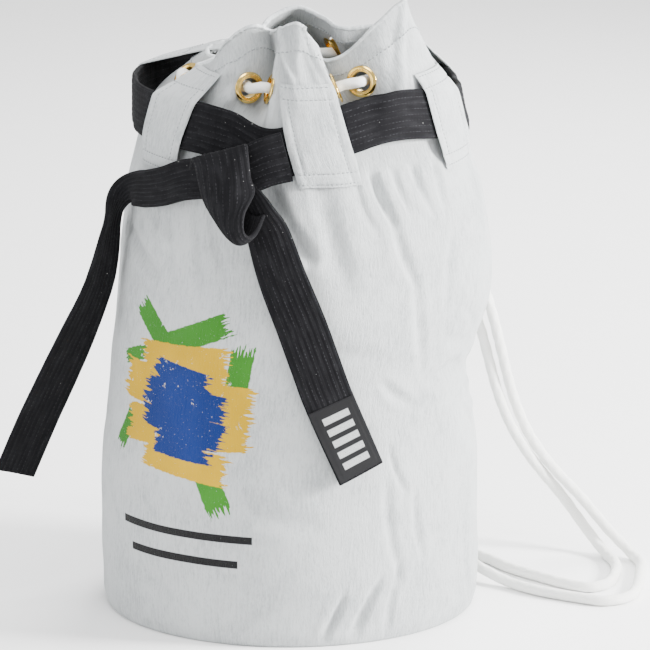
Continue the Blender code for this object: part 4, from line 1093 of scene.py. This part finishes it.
def make_right_end():
    """The belt's end that drops out of the knot and hangs down the front, with its woven label."""
    stations = [(polar(21.0, 0.1475, 0.376), Vector((0.96, 0.10, 0.30)), 0.016, 0.002, 0.0004),
                (polar(24.0, 0.1500, 0.360), Vector((0.93, 0.25, 0.20)), 0.026, 0.0035, 0.0004)]
    for angle, z, *shape in RIGHT_TAIL:
        a = radians(angle)
        point = polar(angle, table_at(PROFILE, z) + RIGHT_STAND_OFF, z)
        stations.append((point, Vector((cos(a), sin(a), 0.0)), *shape))
    centres, across, width, cup, swell = strip_from(stations)
    right = belt_strip("belt_end_right", centres, across, width, cup, swell, seed=8.0)
    hinge = dict(start=tuple(polar(24.5, 0.150, 0.355)), end=tuple(polar(29.0, 0.150, 0.318)))
    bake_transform(right)
    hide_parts("belt_tail_right")
    make_label(centres, across)


LABEL_LENGTH, LABEL_THICK = 0.062, 0.0009


def make_label(centres, across):
    """The label lies on the last stretch of the right end, folded under at its edges and sewn round."""
    lengths = lengths_of(centres)
    at = np.linspace(lengths[-1] - LABEL_LENGTH - 0.002, lengths[-1] - 0.002, 44)
    mid = np.stack([np.interp(at, lengths, centres[:, k]) for k in range(3)], 1)
    side = unit(np.stack([np.interp(at, lengths, across[:, k]) for k in range(3)], 1))
    ahead = unit(np.gradient(mid, axis=0))
    side = unit(side - ahead * np.sum(side * ahead, axis=1, keepdims=True))
    normal = unit(np.cross(ahead, side))
    if np.dot(normal[0], mid[0] * [1, 1, 0]) < 0:
        normal = -normal
    y = np.linspace(-0.5, 0.5, 31)
    u, v = np.meshgrid(np.linspace(0, LABEL_LENGTH, 44), y * (BELT_WIDTH - 0.0015), indexing="ij")
    lift = BELT_THICK / 2 + 0.0009 + 0.00022 * value_noise(u * 190, v * 150, 1.0)
    edge = np.minimum.reduce([u, LABEL_LENGTH - u, (BELT_WIDTH - 0.0015) / 2 - np.abs(v)])
    lift = lift - 0.00035 * np.exp(-((edge - 0.0024) / 0.0006) ** 2)
    mids = mid[:, None] + side[:, None] * v[..., None] + normal[:, None] * lift[..., None]
    normals = np.broadcast_to(normal[:, None], mids.shape)
    thick = LABEL_THICK * (0.45 + 0.55 * smooth_step(0.0, 0.0008, edge))
    label = slab("label_on_belt", mids, normals, thick, LABEL, np.linspace(0, LABEL_LENGTH, 44),
                 y * (BELT_WIDTH - 0.0015), sharp=70.0)
    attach(label, "tail_right")
    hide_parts("belt_label")


# The knot's tongue: rows from behind its top edge down its front, round the lip and up inside the curl.
# Each row has its left, middle-left, middle-right and right point: to the right, away, up.
TONGUE = [
    [(-0.079, -0.121, 0.385), (-0.066, -0.129, 0.39), (-0.05, -0.134, 0.3945), (-0.035, -0.136, 0.3985)],
    [(-0.0775, -0.129, 0.3945), (-0.064, -0.137, 0.4), (-0.048, -0.1415, 0.405), (-0.033, -0.143, 0.41)],
    [(-0.0745, -0.137, 0.392), (-0.061, -0.146, 0.396), (-0.046, -0.15, 0.4), (-0.032, -0.15, 0.404)],
    [(-0.0715, -0.143, 0.38), (-0.059, -0.154, 0.3815), (-0.044, -0.159, 0.384), (-0.03, -0.156, 0.387)],
    [(-0.068, -0.148, 0.368), (-0.0575, -0.16, 0.3665), (-0.044, -0.165, 0.369), (-0.027, -0.16, 0.376)],
    [(-0.061, -0.151, 0.357), (-0.0545, -0.163, 0.352), (-0.0455, -0.169, 0.353), (-0.0345, -0.169, 0.362)],
    [(-0.053, -0.153, 0.349), (-0.0485, -0.164, 0.342), (-0.0425, -0.17, 0.341), (-0.0355, -0.17, 0.348)],
    [(-0.045, -0.15, 0.345), (-0.042, -0.159, 0.3375), (-0.037, -0.166, 0.3365), (-0.031, -0.167, 0.342)],
    [(-0.039, -0.145, 0.349), (-0.035, -0.153, 0.343), (-0.03, -0.159, 0.341), (-0.025, -0.161, 0.345)],
    [(-0.037, -0.142, 0.36), (-0.031, -0.147, 0.356), (-0.025, -0.151, 0.354), (-0.019, -0.153, 0.356)]]


def make_knot():
    """The knot's tongue of doubled belt, and the turn under it."""
    rows = np.array([[beside(*p) for p in row] for row in TONGUE], float)
    n = 90
    at = np.linspace(0, len(rows) - 1, n)
    fine = smooth_ends(rows.reshape(len(rows), -1), at).reshape(n, 4, 3)
    across_at = (ACROSS + 0.5) * 3
    grid = np.stack([smooth_ends(fine[i], across_at) for i in range(n)])
    along = lengths_of(grid[:, len(ACROSS) // 2])
    normals = grid_normals(grid)
    grid = grid + normals * puckers(along, np.full(n, 0.00022), 5.0)[..., None]
    normals = grid_normals(grid)
    tongue = slab("belt_knot_tongue", grid, normals, belt_thickness(along), BELT, along, ACROSS * BELT_WIDTH,
                  sharp=70.0)
    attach(tongue, BAG)
    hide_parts("belt_knot")
    make_knot_band()


# The turn inside the knot: angle, radius, height, tilt and width.
KNOT_BAND = [(34.0, 0.1440, 0.401, 0.26, 0.040), (28.0, 0.1465, 0.397, 0.24, 0.039),
             (22.0, 0.1485, 0.390, 0.16, 0.037), (15.0, 0.1490, 0.383, 0.08, 0.035),
             (8.0, 0.1475, 0.379, 0.00, 0.033)]


def make_knot_band():
    """The turn of the belt inside the knot, from the right under the tongue to the left."""
    stations = []
    for angle, radius, z, tilt, width in KNOT_BAND:
        a = radians(angle)
        side = Vector((cos(a), sin(a), 0.0))
        across = Vector((0, 0, 1)) - side * tilt - outwards(angle) * 0.15
        stations.append((polar(angle, radius, z), across, width, 0.0015, 0.0007))
    band = belt_strip("belt_knot_band", *strip_from(stations), seed=12.0)
    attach(band, BAG)
    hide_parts("belt_knot")


make_left_end()
make_right_end()
make_knot()

# ---- loops, stitches, hem -------------------------------------------------------------------------
LOOP_WIDTH, LOOP_THICK, LOOP_SEWN = 0.050, 0.0017, 0.011
LOOP_TOP_Z, LOOP_BOTTOM_Z = 0.452, 0.3735
LOOP_RADIUS = 0.131         # for the angle that a loop's width takes up
RAY_START, RAY_END = 0.22, 0.03


def skin_tree():
    """Search tree of the canvas and the belt, to lay other cloth on."""
    verts, faces, base = [], [], 0
    for name in ("bag_wall_canvas", "belt_round_neck"):
        mesh = bpy.data.objects[name].data
        co = np.empty(len(mesh.vertices) * 3)
        mesh.vertices.foreach_get("co", co)
        verts.append(co.reshape(-1, 3))
        faces += [[i + base for i in p.vertices] for p in mesh.polygons]
        base += len(mesh.vertices)
    return BVHTree.FromPolygons([tuple(p) for p in np.concatenate(verts)], faces)


SKIN = skin_tree()


def skin_radius(angle, z):
    """Outermost radius of canvas and belt in a direction."""
    start, end = polar(angle, RAY_START, z), polar(angle, RAY_END, z)
    hit = SKIN.ray_cast(start, (end - start).normalized(), 0.20)
    return RAY_START - (hit[0] - start).length if hit[0] else RAY_END


def taut(z, radius):
    """The tightest outward curve over a row of radii: what a pulled strip does."""
    hull = []
    for p in zip(z, radius):
        while len(hull) > 1 and ((hull[-1][1] - hull[-2][1]) * (p[0] - hull[-2][0])
                                 <= (p[1] - hull[-2][1]) * (hull[-1][0] - hull[-2][0])):
            hull.pop()
        hull.append(p)
    return np.interp(z, [h[0] for h in hull], [h[1] for h in hull])


def softened(values, passes):
    """Rounded off along the second axis with its ends kept."""
    for _ in range(passes):
        inner = (values[:, :-2] + 2 * values[:, 1:-1] + values[:, 2:]) / 4
        inner = np.maximum(inner, values[:, 1:-1] - 0.0004)
        values = np.concatenate([values[:, :1], inner, values[:, -1:]], 1)
    return values


def thread_row(name, places, normals, length=0.0027, pitch=0.0038, radius=0.00062):
    """Stitches sewn along a line on cloth: short humps of thread that dip in at both ends."""
    places = np.asarray(places, float)
    at = lengths_of(places)
    verts, faces = [], []
    sides, rings = 6, 5
    for k in range(max(1, int(at[-1] / pitch))):
        s = k * pitch + (at[-1] % pitch) / 2 + np.linspace(0, length, rings)
        mid = np.stack([np.interp(s, at, places[:, c]) for c in range(3)], 1)
        nrm = unit(np.stack([np.interp(s, at, normals[:, c]) for c in range(3)], 1))
        ahead = unit(np.gradient(mid, axis=0))
        side = np.cross(ahead, nrm)
        hump = np.sin(np.linspace(0.0, pi, rings))
        first = len(verts)
        for r in range(rings):
            size = radius * (0.55 + 0.45 * hump[r])
            centre = mid[r] + nrm[r] * (hump[r] * 0.00042 - 0.00016)
            for q in range(sides):
                a = 2 * pi * q / sides
                verts.append(centre + (side[r] * cos(a) + nrm[r] * sin(a)) * size)
        for r in range(rings - 1):
            for q in range(sides):
                p = (q + 1) % sides
                a, b = first + r * sides, first + (r + 1) * sides
                faces.append((a + q, b + q, b + p, a + p))
        faces.append(tuple(first + q for q in range(sides)))
        faces.append(tuple(first + (rings - 1) * sides + q for q in range(sides - 1, -1, -1)))
    stitches = new_object(name, verts, faces, THREAD_PAINTED_SHADE)
    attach(stitches, BAG)
    return stitches


def make_loop(index, upper, lower):
    """A double-turned canvas strip, box-stitched to the bag at both ends and pulled over the belt."""
    cols, rows = 33, 64
    spread = np.linspace(-0.5, 0.5, cols)
    bottom = LOOP_BOTTOM_Z
    z = np.linspace(bottom, LOOP_TOP_Z, rows)
    t = (LOOP_TOP_Z - z) / (LOOP_TOP_Z - bottom)
    angle = np.zeros((cols, rows))
    radius = np.zeros((cols, rows))
    for c in range(cols):
        angle[c] = upper + (lower - upper) * t + spread[c] * LOOP_WIDTH / LOOP_RADIUS * 180 / pi
        radius[c] = taut(z, [skin_radius(a, h) for a, h in zip(angle[c], z)])
    for _ in range(3):
        radius[1:-1] = np.maximum(radius[1:-1], (radius[:-2] + radius[2:]) / 2)
    radius = softened(radius, 3)
    u, v = np.meshgrid(spread * LOOP_WIDTH, z - bottom, indexing="ij")
    tall = z[-1] - z[0]
    edge = np.minimum(LOOP_WIDTH / 2 - np.abs(u), np.minimum(v, tall - v))
    sewn_in = np.exp(-((LOOP_WIDTH / 2 - np.abs(u) - 0.0075) / 0.0011) ** 2)
    for line in (0.0022, LOOP_SEWN):
        for place in (v - line, tall - v - line):
            sewn_in = np.maximum(sewn_in, np.exp(-(place / 0.0010) ** 2))
    lift = (0.0006 + 0.00045 * value_noise(u * 120 + index * 7, v * 90, index)
            + 0.0002 * value_noise(u * 330, v * 300, index) - 0.00085 * sewn_in)
    edge_thick = 0.35 + 0.65 * np.sqrt(np.clip(edge / 0.0012, 0, 1))
    thin = 0.00035 * sewn_in
    inner_r = radius + GAP + np.maximum(lift, 0.0)
    mids = polar_line(angle, inner_r + LOOP_THICK / 2, np.broadcast_to(z, angle.shape))
    normals = grid_normals(mids)
    strip = slab(f"belt_loop_{index}_canvas", mids, normals, LOOP_THICK * edge_thick - 2 * thin, CLOTH,
                 spread * LOOP_WIDTH, z - bottom, sharp=70.0)
    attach(strip, BAG)
    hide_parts(f"belt_loop_{index}")
    top = mids + normals * (LOOP_THICK / 2 - thin)[..., None]

    def row_of(height):
        return int(round(height / tall * (rows - 1)))

    for k, height in enumerate((0.0024, LOOP_SEWN, tall - LOOP_SEWN, tall - 0.0024)):
        r = row_of(height)
        thread_row(f"loop_{index}_stitches_{k + 1}", top[1:-1, r], normals[1:-1, r])
    for k, c in enumerate((5, cols - 6)):
        free = slice(row_of(LOOP_SEWN), row_of(tall - LOOP_SEWN) + 1)
        thread_row(f"loop_{index}_seam_{k + 1}", top[c, free], normals[c, free], radius=0.00042)


for loop_index, (loop_upper, loop_lower) in enumerate(LOOPS, 1):
    make_loop(loop_index, loop_upper, loop_lower)


HEM_START = 0.76            # the part of the way from the neck to the rim


def make_hem():
    """The rim is turned inwards twice: a band inside the mouth with its sewn edge, and the fold itself."""
    rows = np.nonzero(WALL_V >= NECK_Z + 0.1 * HEM_START)[0]
    inside = WALL_INNER[:, rows]
    normals = grid_normals(WALL_INNER, closed=True)[:, rows]
    near, far = inside - normals * 0.00025, inside - normals * 0.0017
    roll = np.linspace(0, 1, len(rows))
    puff = 0.0005 * np.sin(roll * pi)[None, :, None]
    hem = shell("mouth_hem_canvas", near, far - normals * puff, CLOTH, closed=True,
                us=np.append(WALL_ANGLES, 360.0) * SEAM_METRES, vs=roll * 0.022)
    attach(hem, BAG)
    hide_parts("mouth_hem")
    rim = (WALL_OUTER[:, -1] + far[:, -1]) / 2
    fold = tube_ring("mouth_fold", rim, 0.0021, CLOTH)
    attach(fold, BAG)
    ring = np.append(np.arange(WALL_COLUMNS), 0)
    stitch_row = rows[1]
    outer_normals = grid_normals(WALL_OUTER, closed=True)
    sewn = outer_normals[ring, stitch_row]
    thread_row("hem_stitches_outside", WALL_OUTER[ring, stitch_row] + sewn * 0.0001, sewn)
    thread_row("hem_stitches_inside", (far - normals * puff)[ring, 2], -normals[ring, 2])


def tube_ring(name, points, radius, mat, sides=10):
    """Closed ring of round section through a closed row of points."""
    n = len(points)
    ahead = unit(np.roll(points, -1, 0) - np.roll(points, 1, 0))
    up = np.array([0.0, 0.0, 1.0])
    out = unit(np.cross(ahead, up))
    rise = np.cross(out, ahead)
    a = 2 * pi * np.arange(sides) / sides
    spokes = out[:, None] * np.cos(a)[None, :, None] + rise[:, None] * np.sin(a)[None, :, None]
    verts = points[:, None] + radius * spokes
    i, k = [g.ravel() for g in np.meshgrid(np.arange(n), np.arange(sides), indexing="ij")]
    j, l = (i + 1) % n, (k + 1) % sides
    faces = np.stack([i * sides + k, i * sides + l, j * sides + l, j * sides + k], 1)
    at = np.append(lengths_of(points), 1.0)
    uv = np.stack([np.stack([at[i], radius * a[q]], 1) for q in (k, l, l, k)], 1)
    return new_object(name, verts.reshape(-1, 3), faces, mat, uv.reshape(-1, 2), sharp=80.0)


make_hem()

# ---- eyelets --------------------------------------------------------------------------------------
def turned(name, profile, place, mat, segments=72):
    """Ring turned about its local Z axis from a closed profile of (radius, height)."""
    profile = np.array(profile, float)
    m = len(profile)
    a = 2 * pi * np.arange(segments) / segments
    radius, height = profile[None, :, 0], np.broadcast_to(profile[None, :, 1], (segments, m))
    local = np.stack([radius * np.cos(a)[:, None], radius * np.sin(a)[:, None], height], -1).reshape(-1, 3)
    verts = [place @ Vector(p) for p in local]
    i, k = [g.ravel() for g in np.meshgrid(np.arange(segments), np.arange(m), indexing="ij")]
    j, l = (i + 1) % segments, (k + 1) % m
    faces = np.stack([i * m + k, j * m + k, j * m + l, i * m + l], 1)
    return new_object(name, verts, faces, mat, sharp=50.0)


def arc(centre, radius, first, last, count, squash=1.0):
    """Profile points on an arc between two angles."""
    turns = [radians(first + (last - first) * k / count) for k in range(count + 1)]
    return [(centre[0] + radius * cos(t), centre[1] + radius * squash * sin(t)) for t in turns]


def node_points(node):
    """Vertices of a CAD node."""
    return np.array([tuple(v.co) for v in NODES[node].data.vertices])


def make_eyelet(index, centre, normal):
    """A rolled brass eyelet: domed flange, rolled throat and barrel, with a toothed washer inside, drawn as a
    smooth turned ring without its teeth.
    """
    turn = normal.to_track_quat("Z", "Y").to_matrix().to_4x4()
    n = np.array(normal)
    flange = (node_points(f"eyelet_{index:02d}") - np.array(centre)) @ n
    seat = (node_points(f"eyelet_washer_{index:02d}") - np.array(centre)) @ n
    top, foot = float(flange.max()) - 0.0016, float(flange.min())
    outside = Matrix.Translation(centre + normal * top) @ turn
    profile = ([(0.0078, foot - top), (0.0084, foot - top), (0.0085, -0.0004), (0.0121, -0.0003)]
               + arc((0.0120, 0.0003), 0.0006, -80, 70, 5) + arc((0.0104, -0.0004), 0.0021, 55, 128, 9)
               + arc((0.0090, 0.0002), 0.0012, 88, 180, 7) + [(0.0078, -0.0012)])
    eyelet = turned(f"eyelet_{index:02d}_rolled", profile, outside, BRASS)
    low = float(seat.min())
    inside = Matrix.Translation(centre + normal * low) @ turn
    ring = ([(0.0090, 0.0008), (0.0092, 0.0001)] + arc((0.0106, 0.0006), 0.0011, 200, 330, 7, 0.8)
            + [(0.0123, 0.0004), (0.0125, 0.0007), (0.0120, 0.0008)])
    washer = turned(f"eyelet_{index:02d}_washer", ring[::-1], inside, BRASS)
    for obj, node in ((eyelet, f"eyelet_{index:02d}"), (washer, f"eyelet_washer_{index:02d}")):
        outward(obj)
        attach(obj, BAG)
        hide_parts(node)


def outward(obj):
    """Turn a closed mesh's faces to point out."""
    bm = bmesh.new()
    bm.from_mesh(obj.data)
    bmesh.ops.recalc_face_normals(bm, faces=bm.faces)
    if bm.calc_volume(signed=True) < 0:
        bmesh.ops.reverse_faces(bm, faces=bm.faces)
    bm.to_mesh(obj.data)
    bm.free()


for eyelet_index, (_, eyelet_centre, eyelet_normal) in enumerate(EYELETS, 1):
    make_eyelet(eyelet_index, eyelet_centre, eyelet_normal)

# ---- base and tabs --------------------------------------------------------------------------------
BASE_RADIUS = 0.148
TAB_WIDTH, TAB_RADIUS, TAB_THICK = 0.022, 0.155, 0.0016


def make_base():
    """The round bottom panel, a little slack, and the tape that binds its seam inside."""
    n, m = 144, 40
    a = 360.0 * np.arange(n) / n
    share = np.linspace(0.0, 1.0, m) ** 0.7
    foot = PROFILE[0][1] - WALL - GAP
    r = np.maximum(share * foot, 0.0005)
    x, y = r[None] * np.sin(np.radians(a))[:, None], -r[None] * np.cos(np.radians(a))[:, None]
    slack = (0.0009 * value_noise(x * 45, y * 45) + 0.0004 * value_noise(x * 140, y * 140)) * (1 - share[None] ** 6)
    lower = np.stack([x, y, np.maximum(0.0008 + slack * 0.6, 0.0)], -1)[:, ::-1]
    upper = lower + np.array([0, 0, 0.0016])
    panel = shell("bag_base_canvas", lower, upper, CLOTH, closed=True, us=np.append(np.radians(a) * 0.1, 0.2 * pi),
                  vs=foot - r[::-1])
    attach(panel, BAG)
    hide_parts("bag_base")
    n, m = 240, 9
    z = np.linspace(0.0032, 0.0145, m)
    angles = 360.0 * np.arange(n) / n
    radius = np.interp(z, [p[0] for p in PROFILE], [p[1] for p in PROFILE]) - WALL - 2 * GAP
    ripple = 0.0004 * value_noise(np.radians(angles)[:, None] * 30, z[None] * 300)
    heights = np.broadcast_to(z, (n, m))
    outer = polar_line(angles[:, None], radius[None] - 0.0003 - np.abs(ripple), heights)
    bulge = 0.0012 + 0.0006 * np.sin(np.linspace(0, pi, m))[None]
    inner = polar_line(angles[:, None], radius[None] - 0.0003 - np.abs(ripple) - bulge, heights)
    tape = shell("base_binding_tape", outer, inner, TAPE, closed=True,
                 us=np.append(np.radians(angles) * BASE_RADIUS, 2 * pi * BASE_RADIUS), vs=z)
    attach(tape, BAG)
    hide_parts("base_binding")
    ring = np.append(np.arange(n), 0)
    thread_row("binding_stitches", inner[ring, 4], unit(-inner[ring, 4] * [1, 1, 0]), pitch=0.0042)


def make_tab(node, centre):
    """A folded tab sewn to the wall at both ends, with room behind it for the rope."""
    angle0 = atan2(centre.x, -centre.y) * 180 / pi
    cols, rows = 15, 44
    spread = np.linspace(-0.5, 0.5, cols)
    t = np.linspace(0, 1, rows)
    z = 0.0012 + 0.040 * t
    bow = np.sin(pi * np.clip(t / 0.62, 0, 1)) ** 0.6 * (t < 0.62)
    bow[-1] = 0.0
    radius = np.interp(z, [p[0] for p in PROFILE], [p[1] for p in PROFILE]) + 2 * GAP + 0.0128 * bow
    angle = angle0 + spread[:, None] * TAB_WIDTH / TAB_RADIUS * 180 / pi + np.zeros((1, rows))
    middle = radius[None] + TAB_THICK / 2 + np.zeros((cols, 1))
    mids = polar_line(angle, middle, np.broadcast_to(z, (cols, rows)))
    mids[:, 1:-1] = (mids[:, :-2] + 2 * mids[:, 1:-1] + mids[:, 2:]) / 4
    normals = grid_normals(mids)
    edge = np.minimum(0.5 - np.abs(spread)[:, None], np.minimum(t, 1 - t)[None] * 1.8) * TAB_WIDTH
    thick = TAB_THICK * (0.4 + 0.6 * np.sqrt(np.clip(edge / 0.0011, 0, 1)))
    tab = slab(node + "_canvas", mids, normals, thick, CLOTH, spread * TAB_WIDTH, z, sharp=70.0)
    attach(tab, BAG)
    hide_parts(node)
    top = mids + normals * TAB_THICK / 2
    for k, row in enumerate((30, 41)):
        thread_row(f"{node}_stitches_{k + 1}", top[1:-1, row], normals[1:-1, row], pitch=0.0034)


make_base()
make_tab("base_tab_right", beside(0.1382, 0.0741, 0.0))
make_tab("base_tab_left", beside(0.0406, 0.1515, 0.0))


# ---- stage ----------------------------------------------------------------------------------------
def make_stage():
    """A wide plain pale floor."""
    ground = Look("studio_floor", (0.93, 0.93, 0.93), 0.75)
    grain = ground.noise(ground.place(), 30.0, 2.0)
    ground.set("Base Color", ground.mix(grain, (0.92, 0.92, 0.92), (0.94, 0.94, 0.94)))
    radii, sides = (0.4, 1.2, 3.0, 9.0), 64
    rim = [2 * pi * k / sides for k in range(sides)]
    verts = [(r * cos(a), r * sin(a), 0.0) for r in radii for a in rim] + [(0.0, 0.0, 0.0)]
    faces = [(k, (k + 1) % sides, len(verts) - 1) for k in range(sides)]
    for ring in range(len(radii) - 1):
        low, high = ring * sides, (ring + 1) * sides
        faces += [(low + k, high + k, high + (k + 1) % sides, low + (k + 1) % sides) for k in range(sides)]
    floor = new_object("studio_floor", verts, faces, ground.mat)


# Area lights: name, place to the right, away and up, size, power and colour.
LIGHTS = [("key", (1.70, -0.35, 0.85), 0.5, 150.0, (1.0, 0.995, 0.985)),
          ("fill", (-1.60, -0.90, 0.70), 1.2, 22.0, (0.97, 0.985, 1.0)),
          ("top", (0.10, -0.60, 1.90), 1.0, 36.0, (1.0, 1.0, 1.0)),
          ("back", (0.60, 1.40, 1.30), 1.2, 60.0, (1.0, 1.0, 1.0))]
SKY_STRENGTH = 0.95


def make_lights():
    """A hard key from the right, three soft lights and an even sky."""
    for name, place, size, power, tint in LIGHTS:
        light = bpy.data.lights.new(name, "AREA")
        light.size, light.energy, light.color = size, power, tint
        lamp = bpy.data.objects.new(name, light)
        lamp.location = beside(*place)
        lamp.rotation_euler = (lamp.location - Vector((0, 0, 0.25))).to_track_quat("Z", "Y").to_euler()
        bpy.context.scene.collection.objects.link(lamp)
    world = bpy.data.worlds.new("studio")
    world.use_nodes = True
    sky = world.node_tree.nodes["Background"]
    sky.inputs["Color"].default_value = (1.0, 1.0, 1.0, 1.0)
    sky.inputs["Strength"].default_value = SKY_STRENGTH
    bpy.context.scene.world = world


make_stage()
make_lights()
